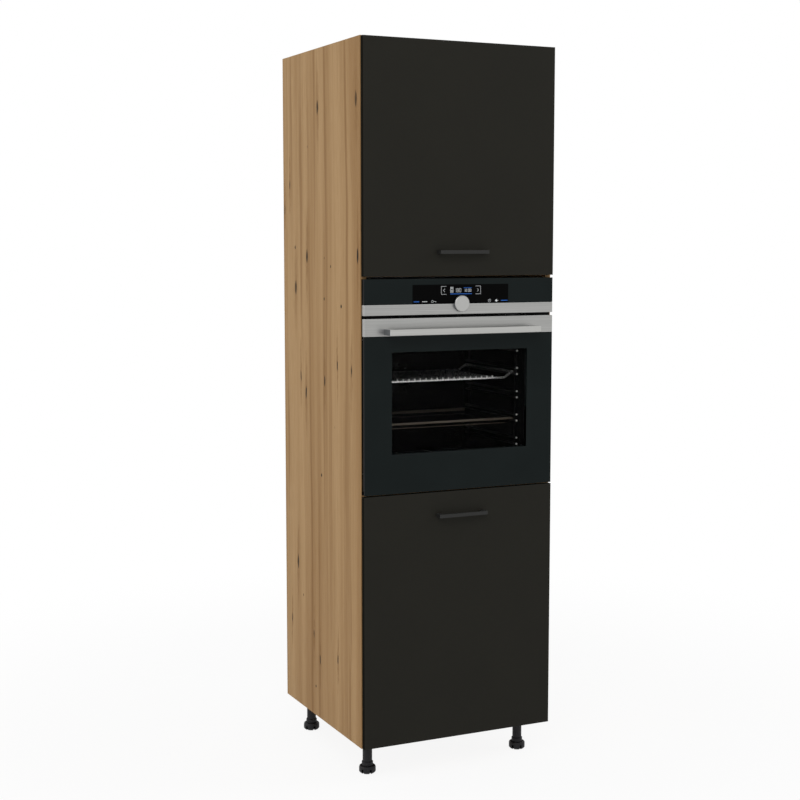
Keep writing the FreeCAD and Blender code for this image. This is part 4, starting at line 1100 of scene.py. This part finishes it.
class ScrewHeads(Repeats):
    """Cross-recessed heads of screws, with the sizes of top and cross as shares of a head's own."""

    name = "screw_heads"
    sides: int = 18
    top: float = 0.72
    cross_length: float = 1.15
    cross_width: float = 0.26
    cross_depth: float = 1.2

    def _shape(self, radius: Socket, height: Socket) -> Socket:
        """Build a tapered head less its cross.

        Args:
            radius: Radius of the head.
            height: Height of the head.

        Returns:
            The mesh socket.
        """
        top = self._times(radius, self.top)
        head = self._node("GeometryNodeMeshCone", Radius_Bottom=radius, Depth=height, Radius_Top=top)
        head.inputs["Vertices"].default_value = self.sides
        length = self._times(radius, self.cross_length)
        width = self._times(radius, self.cross_width)
        depth = self._times(height, self.cross_depth)
        lift = self._node("ShaderNodeCombineXYZ", Z=height).outputs[0]
        cut = self._node("GeometryNodeMeshBoolean")
        cut.operation = "DIFFERENCE"
        self.tree.links.new(head.outputs["Mesh"], cut.inputs["Mesh 1"])
        for x, y in ((length, width), (width, length)):
            size = self._node("ShaderNodeCombineXYZ", X=x, Y=y, Z=depth)
            bar = self._node("GeometryNodeMeshCube", Size=size.outputs[0])
            moved = self._node("GeometryNodeTransform", Geometry=bar.outputs["Mesh"], Translation=lift)
            self.tree.links.new(moved.outputs[0], cut.inputs["Mesh 2"])
        return cut.outputs["Mesh"]


class WireEnds(Repeats):
    """Rounded ends of drawn wires, which here take a pale finish as a painted glint."""

    name = "wire_ends"
    slot = "chrome_wire"
    segments: int = 14
    rings: int = 9

    def _shape(self, radius: Socket, height: Socket) -> Socket:
        """Build a smooth dome as long as its height, closed at the back.

        Args:
            radius: Radius of the dome.
            height: Height of the dome.

        Returns:
            The mesh socket.
        """
        ball = self._node("GeometryNodeMeshUVSphere")
        for label, value in (("Segments", self.segments), ("Rings", self.rings), ("Radius", 1.0)):
            ball.inputs[label].default_value = value
        size = self._node("ShaderNodeCombineXYZ", X=radius, Y=radius, Z=height)
        dome = self._node("GeometryNodeTransform", Geometry=ball.outputs["Mesh"], Scale=size.outputs[0])
        return self._node("GeometryNodeSetShadeSmooth", Geometry=dome.outputs[0]).outputs[0]


@dataclass
class Carcass:
    """Boards, back panels, shelf and legs.

    A notch of a foot has a depth, a width and a height; a screw head has a radius and a height.
    """

    finishes: Finishes
    board_edge: float = 0.6 * MM
    leg_x: float = 0.247
    leg_rows: Point = (-0.182, 0.248)
    leg_plate_z: float = 0.096
    leg_screw: float = 0.023
    screw_head: Point = (3.6 * MM, 1.6 * MM)
    skirt_r: float = 0.0228
    notches: int = 6
    notch: Corner = (14.0 * MM, 5.6 * MM, 13.0 * MM)

    def build(self, screws: ScrewHeads) -> None:
        """Dress the boards and legs and screw the plates on.

        Args:
            screws: Maker of the screw heads.
        """
        f = self.finishes
        for side in ("left_side_panel", "right_side_panel"):
            eased(side, f.oak_upright, self.board_edge)
        paint(f.oak_across, "bottom_panel", "top_panel", "oven_shelf", "middle_shelf", "adjustable_shelf")
        paint(f.hardboard, "upper_back_panel", "lower_back_panel")
        paint(f.zinc, "shelf_pins", "cabinet_runners")
        eased("legs", f.black_moulding)
        for place in ("front_left", "front_right", "back_left", "back_right"):
            node = "foot_" + place
            foot = eased(node, f.black_moulding, tool=self._notch_tool(node))
            # The walls of the notches take black as painted shade in the recesses.
            finish_faces(foot, f.enamel_and_painted_shade, self._in_notch)
        step = self.leg_screw
        places = [
            ((x + dx, y + dy, self.leg_plate_z), DOWN)
            for x in (-self.leg_x, self.leg_x)
            for y in self.leg_rows
            for dx in (-step, step)
            for dy in (-step, step)
        ]
        screws.place("leg_plate_screws", Body.CARCASS, places, *self.screw_head)

    def _notch_tool(self, node: str) -> Mesh:
        """Build the ring of blocks that cut the notches of a foot from its rim inwards.

        Args:
            node: Name of the foot.

        Returns:
            The blocks, which reach past the rim and the ground.
        """
        low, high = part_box(node)
        depth, wide, tall = self.notch
        past = 2 * MM
        rim = (high.x - low.x) / 2
        middle = Matrix.Translation(((low.x + high.x) / 2, (low.y + high.y) / 2, low.z))
        block = Matrix.Translation((rim - (depth - past) / 2, 0.0, (tall - past) / 2))
        size = Matrix.Diagonal((depth + past, wide, tall + past, 1.0))
        bm = bmesh.new()
        for step in range(self.notches):
            turn = Matrix.Rotation(math.tau * (step + 0.5) / self.notches, 4, "Z")
            bmesh.ops.create_cube(bm, size=1.0, matrix=middle @ turn @ block @ size)
        return made_mesh(node + "_notches", bm)

    def _in_notch(self, face: Face) -> bool:
        """Tell whether a face of a foot is a wall of one of its notches.

        Args:
            face: The face.

        Returns:
            Whether it is.
        """
        across = abs(face.center.x) - self.leg_x
        deep = min(abs(face.center.y - row) for row in self.leg_rows)
        inside = math.hypot(across, deep) < self.skirt_r
        return inside and face.center.z < self.notch[2] and abs(face.normal.z) < ASIDE


@dataclass
class Flap:
    """Lift-up front with its handle, hinges and gas struts; a screw head has a radius and a height."""

    finishes: Finishes
    handle_edge: float = 0.5 * MM
    screw_head: Point = (3.2 * MM, 1.2 * MM)
    hinge_x: float = 0.190
    hinge_step: float = 0.020
    plate_y: float = -0.2621
    plate_z: float = 2.042
    roof_y: float = -0.240
    roof_z: float = 2.0511
    strut_x: float = 0.257
    strut_y: float = -0.261
    strut_rows: Point = (1.934, 1.953)
    wall_x: float = 0.280
    wall_rows: Point = (-0.1475, -0.1335)
    wall_z: float = 2.0255

    def build(self, screws: ScrewHeads) -> None:
        """Dress the flap and its fittings and set their screws.

        Args:
            screws: Maker of the screw heads.
        """
        f = self.finishes
        front_board("flap_panel", f)
        eased("flap_handle", f.black_coat, self.handle_edge)
        paint(f.zinc, "top_hinge_leaves", "flap_hinge_leaves", "flap_hinge_pins")
        paint(f.zinc, "strut_side_brackets", "strut_flap_brackets")
        eased("strut_cylinders", f.black_coat)
        eased("strut_rods", f.chrome)
        sides = (-1, 1)
        steps = (-self.hinge_step, 0.0, self.hinge_step)
        across = [side * self.hinge_x + step for side in sides for step in steps]
        moving = [((x, self.plate_y, self.plate_z), REAR) for x in across]
        moving += [((side * self.strut_x, self.strut_y, z), REAR) for side in sides for z in self.strut_rows]
        screws.place("flap_fitting_screws", Body.FLAP, moving, *self.screw_head)
        fixed = [((x, self.roof_y, self.roof_z), DOWN) for x in across]
        fixed += [
            ((side * self.wall_x, y, self.wall_z), (-side, 0.0, 0.0))
            for side in sides
            for y in self.wall_rows
        ]
        screws.place("carcass_fitting_screws", Body.CARCASS, fixed, *self.screw_head)


@dataclass
class PullOut:
    """Deep pull-out with its box, rails and runners."""

    finishes: Finishes
    handle_edge: float = 0.5 * MM

    def build(self) -> None:
        """Dress the pull-out."""
        f = self.finishes
        front_board("drawer_front_panel", f)
        eased("drawer_handle", f.black_coat, self.handle_edge)
        paint(f.drawer_board, "drawer_side_walls", "drawer_cross_walls", "drawer_floor")
        eased("gallery_rails", f.black_coat)
        paint(f.zinc, "drawer_runners", "middle_runners")


@dataclass
class OvenBody:
    """Fixed part of the oven: casing, liner and what the liner holds.

    A screw head and a wire's end have a radius and a height.
    """

    finishes: Finishes
    rear_y: float = 0.276
    rear_x: float = 0.268
    rear_rows: Corner = (0.832, 1.115, 1.399)
    screw_head: Point = (3.4 * MM, 1.8 * MM)
    wire_bend: float = 65.0
    rack_wires: int = 18
    rack_half: float = 0.153
    rack_front: float = -0.1858
    rack_z: float = 1.1304
    rack_end: Point = (2.5 * MM, 2.2 * MM)
    rail_x: float = 0.222
    rail_front: float = -0.2088
    rail_rows: tuple[float, ...] = (0.930, 0.9985, 1.067, 1.1355, 1.204)
    rail_pair: float = 0.018
    rail_end: Point = (3.0 * MM, 2.4 * MM)
    rim_z: float = 0.9985
    tray_foot_z: float = 0.9905

    def build(self, screws: ScrewHeads, ends: WireEnds) -> None:
        """Dress the oven's fixed pieces.

        Args:
            screws: Maker of the screw heads.
            ends: Maker of the wires' ends.
        """
        f = self.finishes
        paint(f.enamel_and_painted_shade, "oven_cavity", "oven_front_frame", "fan_cover", "oven_fan")
        # The top casing takes the darkened plate as painted shade.
        paint(f.painted_shade_plate, "oven_top_casing")
        # The tray is black as painted shade, except the front faces of its rim and foot, which keep its grey
        # enamel.
        tray = eased("baking_tray", f.enamel_and_painted_shade, cuts=(self.tray_foot_z, self.rim_z))
        finish_faces(tray, f.tray_enamel, self._on_rim)
        eased("grill_element", f.dull_wire, bend=self.wire_bend)
        eased("wire_rack", f.rack_wire, bend=self.wire_bend)
        eased("rack_ladders", f.dull_wire, bend=self.wire_bend)
        # The domes on the front ends of rack wires and ladder rails take the pale finish as a painted glint.
        ends.place("rack_wire_ends", Body.CARCASS, self._rack_ends(), *self.rack_end)
        ends.place("ladder_rail_ends", Body.CARCASS, self._rail_ends(), *self.rail_end)
        paint(f.zinc, "oven_side_casings", "oven_base_casing", "oven_rear_casing")
        paint(f.zinc, "oven_hinge_receivers", "oven_fixing_screws", "fan_motor")
        paint(f.rubber, "oven_door_seal")
        places = [((side * self.rear_x, self.rear_y, z), REAR) for side in (-1, 1) for z in self.rear_rows]
        screws.place("rear_casing_screws", Body.CARCASS, places, *self.screw_head)

    def _on_rim(self, face: Face) -> bool:
        """Whether a face of the tray is the front of its rim or of its foot."""
        level = face.center.z > self.rim_z or face.center.z < self.tray_foot_z
        return level and face.normal.y < -HALFWAY

    def _rack_ends(self) -> list[Aimed]:
        """Find the front ends of the rack's wires.

        Returns:
            Place and facing of each end.
        """
        step = 2 * self.rack_half / (self.rack_wires - 1)
        across = [index * step - self.rack_half for index in range(self.rack_wires)]
        return [((x, self.rack_front, self.rack_z), FRONT) for x in across]

    def _rail_ends(self) -> list[Aimed]:
        """Front ends of the ladders' rails, in pairs but for the top one."""
        rows = sorted(self.rail_rows + tuple(z + self.rail_pair for z in self.rail_rows[:-1]))
        return [((side * self.rail_x, self.rail_front, z), FRONT) for side in (-1, 1) for z in rows]


@dataclass(frozen=True)
class Figure:
    """Number on the display: its digits, their left ends, their foot and the size of a digit."""

    digits: str
    lefts: tuple[float, ...]
    foot: float
    wide: float
    tall: float


@dataclass(frozen=True)
class Bar:
    """Level bar on the display: its two ends, its height on the glass and its width."""

    left: float
    right: float
    z: float
    width: float


@dataclass
class ControlPanel:
    """Steel strip, glass with its display field and signs, and the knob.

    Places on the glass are x and z in metres. A pair holds the two ends of a sign, and the touch fields
    and their arrows are mirrored.
    """

    finishes: Finishes
    strip: Point = (1.3180, 1.3472)
    strip_edge: float = 1.2 * MM
    glass_edge: float = 0.2 * MM
    knob_z: float = 1.3472
    half: float = 0.151
    low: float = 1.3478
    high: float = 1.4010
    notch: float = 4.6 * MM
    notch_steps: int = 8
    film: float = 0.15 * MM
    ink: float = 0.12 * MM
    line: float = 0.65 * MM
    bold: float = 1.6 * MM
    sign_half: float = 4.2 * MM
    touch_x: Point = (0.0465, 0.0620)
    touch_z: Point = (1.3738, 1.3958)
    arrow_x: Point = (0.0510, 0.0555)
    arrow_z: float = 1.3848
    row: float = 1.3542
    dash_lefts: Corner = (-0.1205, -0.1150, -0.1095)
    dash: float = 3.0 * MM
    key_x: float = -0.0895
    key_r: float = 3.0 * MM
    key_shank: Point = (-0.0860, -0.0785)
    tooth_x: float = -0.0790
    tooth: float = 1.8 * MM
    clock_x: float = 0.0905
    hour_hand: float = 2.0 * MM
    minute_hand: float = 2.8 * MM
    pointer_x: Corner = (0.1080, 0.1140, 0.1175)
    heat_x: Point = (-0.0336, -0.0249)
    heat_z: Point = (1.3785, 1.3936)
    heat_bar_x: Point = (-0.0316, -0.0269)
    heat_bar_rows: tuple[float, ...] = (1.3812, 1.3845, 1.3890, 1.3915)
    heat_bar: float = 1.2 * MM
    temperature: Figure = Figure("180", (-0.0200, -0.0125, -0.0050), 1.3795, 0.0046, 0.0100)
    time: Figure = Figure("1200", (0.0092, 0.0147, 0.0227, 0.0282), 1.3805, 0.0034, 0.0072)
    colon_x: Point = (0.0207, 0.0208)
    colon_rows: Point = (1.3825, 1.3862)
    bars: tuple[Bar, ...] = (
        Bar(-0.0335, 0.0335, 1.3745, 1.5 * MM),
        Bar(0.0090, 0.0330, 1.3912, 1.1 * MM),
        Bar(-0.1465, -0.1315, row, 1.8 * MM),
        Bar(0.1285, 0.1480, row, 1.8 * MM),
    )

    def build(self) -> None:
        """Dress the panel."""
        f = self.finishes
        strip = eased("control_strip", f.steel, self.strip_edge)
        # The upward eased edges of the strip take lighter steel as a painted highlight.
        finish_faces(strip, f.painted_highlight_steel, lambda face: face.normal.z > 0.0 and on_eased_edge(face))
        glass = eased("control_glass", f.print_teal, self.glass_edge)
        # The edges and back of the glass take black as painted shade.
        finish_faces(glass, f.enamel_and_painted_shade, lambda face: face.normal.y > -SQUARE)
        backing("control_carrier", f, self.strip)
        knob_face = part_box("oven_knob")[0].y
        knob = eased("oven_knob", Spun("spun_steel", (0.0, knob_face, self.knob_z)).material())
        # The knob's sides take darker steel as painted shade.
        finish_faces(knob, f.painted_shade_steel, lambda face: face.normal.y > -ASIDE)
        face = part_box("control_glass")[0].y
        ink = face - self.film
        signs = self._touch_fields() + self._lower_row() + self._screen()
        layers = (
            ("display_field", [self._field()], face, self.film, f.print_black),
            ("panel_signs", signs, ink, self.ink, f.pale_mark),
            ("panel_bars", self._bars(), ink, self.ink, f.blue_mark),
        )
        for name, outlines, plane, depth, material in layers:
            mount(plates(name, outlines, plane, depth, material), Body.CARCASS)

    def _field(self) -> list[Point]:
        """Outline the dark field of the display, cut out round the knob's shaft.

        Returns:
            Its corners.
        """
        turns = [math.pi * (1.0 - step / self.notch_steps) for step in range(self.notch_steps + 1)]
        notch = [(self.notch * math.cos(turn), self.low + self.notch * math.sin(turn)) for turn in turns]
        left, right = -self.half, self.half
        return [(left, self.low), *notch, (right, self.low), (right, self.high), (left, self.high)]

    def _touch_fields(self) -> list[list[Point]]:
        """Outline the brackets of the two touch fields with the arrows in them.

        Returns:
            The corners of each stroke.
        """
        low, high = self.touch_z
        marks = []
        for side in (-1, 1):
            inner, outer = (side * x for x in self.touch_x)
            tail, tip = (side * x for x in self.arrow_x)
            marks.append(stroke((outer, low), (outer, high), self.line))
            marks += [stroke((outer, z), (inner, z), self.line) for z in (low, high)]
            for rise in (-self.sign_half, self.sign_half):
                marks.append(stroke((tip, self.arrow_z), (tail, self.arrow_z + rise), self.line))
        return marks

    def _lower_row(self) -> list[list[Point]]:
        """Outline the small signs of the lower row: three dashes, a key, a clock and a pointer.

        Returns:
            The corners of each stroke.
        """
        z = self.row
        line = self.line
        marks = [stroke((x, z), (x + self.dash, z), self.bold) for x in self.dash_lefts]
        marks += ring((self.key_x, z), self.key_r, line)
        left, right = self.key_shank
        marks.append(stroke((left, z), (right, z), line))
        marks.append(stroke((self.tooth_x, z), (self.tooth_x, z - self.tooth), line))
        clock = (self.clock_x, z)
        marks += ring(clock, self.sign_half, line)
        marks.append(stroke(clock, (self.clock_x, z + self.minute_hand), line))
        marks.append(stroke(clock, (self.clock_x + self.hour_hand, z), line))
        tip, base, tail = self.pointer_x
        marks.append([(tip, z), (base, z - self.sign_half), (base, z + self.sign_half)])
        marks.append(stroke((base, z), (tail, z), self.bold))
        return marks

    def _screen(self) -> list[list[Point]]:
        """Outline the heat sign and the bar-built digits of a temperature and a time.

        Returns:
            The corners of each stroke.
        """
        left, right = self.heat_x
        low, high = self.heat_z
        marks = [stroke((x, low), (x, high), self.line) for x in (left, right)]
        marks += [stroke((left, z), (right, z), self.line) for z in (low, high)]
        left, right = self.heat_bar_x
        marks += [stroke((left, z), (right, z), self.heat_bar) for z in self.heat_bar_rows]
        for figure in (self.temperature, self.time):
            for x, digit in zip(figure.lefts, figure.digits):
                marks += self._digit(digit, x, figure)
        left, right = self.colon_x
        marks += [stroke((left, z), (right, z), self.line) for z in self.colon_rows]
        return marks

    def _digit(self, digit: str, x: float, figure: Figure) -> list[list[Point]]:
        """Outline the bars of one digit.

        Args:
            digit: The digit.
            x: Its left end.
            figure: The number that it belongs to.

        Returns:
            The corners of each bar.
        """
        z = figure.foot
        mid = z + figure.tall / 2
        top = z + figure.tall
        right = x + figure.wide
        bars = {
            "a": ((x, top), (right, top)),
            "b": ((right, mid), (right, top)),
            "c": ((right, z), (right, mid)),
            "d": ((x, z), (right, z)),
            "e": ((x, z), (x, mid)),
            "f": ((x, mid), (x, top)),
            "g": ((x, mid), (right, mid)),
        }
        lit = {"0": "abcdef", "1": "bc", "2": "abged", "8": "abcdefg"}
        return [stroke(*bars[bar], self.line) for bar in lit[digit]]

    def _bars(self) -> list[list[Point]]:
        """Corners of the blue bars under and over the figures and at both ends of the lower row."""
        return [stroke((bar.left, bar.z), (bar.right, bar.z), bar.width) for bar in self.bars]


@dataclass
class OvenDoor:
    """Drop-down door: printed glass round a clear window, steel trim, handle and inner side."""

    finishes: Finishes
    window_half: float = 0.2137
    window_low: float = 0.9325
    window_high: float = 1.2160
    glass_edge: float = 0.2 * MM
    handle_post: float = 20.0 * MM
    handle_grip: float = 12.0 * MM
    handle_edge: float = 1.0 * MM
    strip: Point = (1.2613, 1.3092)
    strip_edge: float = 1.2 * MM

    def build(self) -> None:
        """Dress the door."""
        f = self.finishes
        glass = link_piece("door_glass", self._glass(), f.print_teal)
        finish_faces(glass, f.window, self._in_window)
        # The edges of the glass take black as painted shade.
        finish_faces(glass, f.enamel_and_painted_shade, lambda face: abs(face.normal.y) < SQUARE)
        mount(glass, Body.DOOR, ["oven_door_glass"])
        trim = eased("oven_door_trim", f.steel, self.strip_edge)
        # The level eased edges of the trim take lighter steel as a painted highlight.
        finish_faces(trim, f.painted_highlight_steel, on_eased_edge)
        # The top faces of the trim take black as painted shade.
        finish_faces(trim, f.enamel_and_painted_shade, lambda face: face.normal.z > FLAT)
        handle = link_piece("door_handle", self._handle(), f.grip_steel)
        # The ends of the handle take darker steel as painted shade.
        finish_faces(handle, f.painted_shade_steel, lambda face: abs(face.normal.x) > HALFWAY)
        mount(handle, Body.DOOR, ["oven_handle"])
        backing("oven_door_frame", f, self.strip)
        paint(f.inner_pane, "oven_inner_glass")
        paint(f.zinc, "door_hinge_lugs")

    def _handle(self) -> Mesh:
        """Build the square bow of a flat grip on two posts, with eased edges.

        Returns:
            The mesh.
        """
        low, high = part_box("oven_handle")
        inner = high.x - self.handle_post
        back = low.y + self.handle_grip
        bow = [(low.x, high.y), (low.x, low.y), (high.x, low.y), (high.x, high.y)]
        bow += [(inner, high.y), (inner, back), (-inner, back), (-inner, high.y)]
        bm = bmesh.new()
        prism(bm, [(x, y, low.z) for x, y in bow], [(x, y, high.z) for x, y in bow])
        bmesh.ops.recalc_face_normals(bm, faces=bm.faces)
        ease_edges(bm, self.handle_edge)
        return made_mesh("door_handle", bm)

    def _in_window(self, face: Face) -> bool:
        """Whether a face of the glass lies in the clear window."""
        level = self.window_low < face.center.z < self.window_high
        return level and abs(face.center.x) < self.window_half and abs(face.normal.y) > SQUARE

    def _glass(self) -> Mesh:
        """Build one sheet of glass, divided along the border of its window and eased round its edge.

        Returns:
            The mesh.
        """
        low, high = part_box("oven_door_glass")
        across = (low.x, -self.window_half, self.window_half, high.x)
        up = (low.z, self.window_low, self.window_high, high.z)
        bm = bmesh.new()
        sheets = [[[bm.verts.new((x, y, z)) for x in across] for z in up] for y in (low.y, high.y)]
        for sheet in sheets:
            for row, after in zip(sheet, sheet[1:]):
                for index in range(len(across) - 1):
                    bm.faces.new((row[index], row[index + 1], after[index + 1], after[index]))
        front, back = sheets
        rims = [(front[0], back[0]), (front[-1], back[-1])]
        rims += [([row[end] for row in front], [row[end] for row in back]) for end in (0, -1)]
        for near, far in rims:
            for index in range(len(near) - 1):
                bm.faces.new((near[index], near[index + 1], far[index + 1], far[index]))
        bmesh.ops.recalc_face_normals(bm, faces=bm.faces)
        ease_edges(bm, self.glass_edge)
        return made_mesh("door_glass", bm)


@dataclass(frozen=True)
class Lamp:
    """Large soft lamp, with its size in metres and its power in watts."""

    name: str
    place: Corner
    size: float
    power: float

    def build(self, target: Vector) -> None:
        """Hang the lamp up and aim it.

        Args:
            target: Point that it shines at.
        """
        data = bpy.data.lights.new(self.name, "AREA")
        data.energy = self.power
        data.size = self.size
        lamp = in_scene(self.name, data)
        lamp.location = self.place
        lamp.rotation_mode = "QUATERNION"
        lamp.rotation_quaternion = (target - lamp.location).to_track_quat("-Z", "Y")


@dataclass
class Studio:
    """Camera, pale floor, soft lamps and a white surround.

    The floor shines white by a share that grows from near the cabinet to far from it.
    """

    camera_place: Corner = (-1.9403, -3.9868, 1.5112)
    azimuth: float = -25.283
    elevation: float = 5.947
    lens: float = 67.0975
    sensor: float = 36.0
    sight: float = 200.0
    surround: float = 0.52
    floor_half: float = 40.0
    floor_grain: float = 3.0
    floor_dark: Colour = (0.92, 0.92, 0.92, 1.0)
    floor_light: Colour = (0.94, 0.94, 0.94, 1.0)
    near: float = 0.9
    far: float = 2.6
    near_white: float = 0.90
    target: Corner = (0.0, 0.0, 1.1)
    lamps: tuple[Lamp, ...] = (
        Lamp("key", (-2.6, -4.0, 4.2), 3.0, 95.0),
        Lamp("fill", (4.8, -1.8, 3.4), 2.6, 55.0),
        Lamp("side", (-4.6, 0.8, 1.5), 2.4, 38.0),
    )

    def build(self) -> None:
        """Set the stage."""
        self._camera()
        self._world()
        self._floor()
        for lamp in self.lamps:
            lamp.build(Vector(self.target))
        bpy.context.scene.view_settings.view_transform = "Standard"

    def _camera(self) -> None:
        """Place the camera at the photograph's viewing angle."""
        data = bpy.data.cameras.new("camera")
        data.sensor_width = self.sensor
        data.lens = self.lens
        data.clip_end = self.sight
        camera = in_scene("camera", data)
        turn = math.radians(self.azimuth)
        rise = math.radians(self.elevation)
        back = Vector((math.sin(turn) * math.cos(rise), -math.cos(turn) * math.cos(rise), math.sin(rise)))
        camera.location = self.camera_place
        camera.rotation_mode = "QUATERNION"
        camera.rotation_quaternion = (-back).to_track_quat("-Z", "Y")
        bpy.context.scene.camera = camera

    @staticmethod
    def _seen(tree: bpy.types.NodeTree) -> Socket:
        """Add a mask of the rays by which something is seen: camera, glossy and transmission rays.

        Args:
            tree: Tree of the floor or the surround.

        Returns:
            The mask.
        """
        path = tree.nodes.new("ShaderNodeLightPath")
        total = path.outputs["Is Camera Ray"]
        for name in ("Is Glossy Ray", "Is Transmission Ray"):
            most = tree.nodes.new("ShaderNodeMath")
            most.operation = "MAXIMUM"
            tree.links.new(total, most.inputs[0])
            tree.links.new(path.outputs[name], most.inputs[1])
            total = most.outputs[0]
        return total

    def _world(self) -> None:
        """Light the scene plainly all round, with a surround that is seen as white."""
        world = bpy.data.worlds.new("surround")
        world.use_nodes = True
        bpy.context.scene.world = world
        tree = world.node_tree
        strength = tree.nodes.new("ShaderNodeMapRange")
        strength.inputs["To Min"].default_value = self.surround
        strength.inputs["To Max"].default_value = 1.0
        tree.links.new(self._seen(tree), strength.inputs["Value"])
        light = tree.nodes["Background"]
        light.inputs["Color"].default_value = (1.0, 1.0, 1.0, 1.0)
        tree.links.new(strength.outputs["Result"], light.inputs["Strength"])

    def _floor(self) -> None:
        """Lay a wide pale floor that stays white and keeps a soft shadow."""
        reach = self.floor_half
        corners = [(-reach, -reach, 0), (reach, -reach, 0), (reach, reach, 0), (-reach, reach, 0)]
        mesh = bpy.data.meshes.new("floor")
        mesh.from_pydata(corners, [], [(0, 1, 2, 3)])
        g = Graph("pale_floor")
        g.tree.nodes.remove(g.surface)
        grain = g.noise(g.scaled((self.floor_grain,) * 3), 2.0)
        matt = g.node("ShaderNodeBsdfDiffuse")
        g.put(g.mix(grain, self.floor_dark, self.floor_light), matt.inputs["Color"])
        glow = g.node("ShaderNodeEmission")
        away = g.node("ShaderNodeVectorMath", operation="LENGTH")
        g.put(g.place, away.inputs[0])
        white = g.span(away.outputs["Value"], self.near, self.far, self.near_white, 1.0)
        share = g.math("MULTIPLY", self._seen(g.tree), white)
        blend = g.node("ShaderNodeMixShader")
        for index, source in enumerate((share, matt.outputs[0], glow.outputs[0])):
            g.put(source, blend.inputs[index])
        g.put(blend.outputs[0], g.output.inputs["Surface"])
        link_piece("floor", mesh, g.material)


def main() -> None:
    """Dress the sub-assemblies in order and set the stage."""
    logging.basicConfig(level=logging.INFO, format="%(message)s")
    finishes = Finishes()
    screws = ScrewHeads(finishes.zinc)
    Carcass(finishes).build(screws)
    Flap(finishes).build(screws)
    PullOut(finishes).build()
    OvenBody(finishes).build(screws, WireEnds(finishes.painted_glint_end))
    ControlPanel(finishes).build()
    OvenDoor(finishes).build()
    Studio().build()


if __name__ == "__main__":
    main()
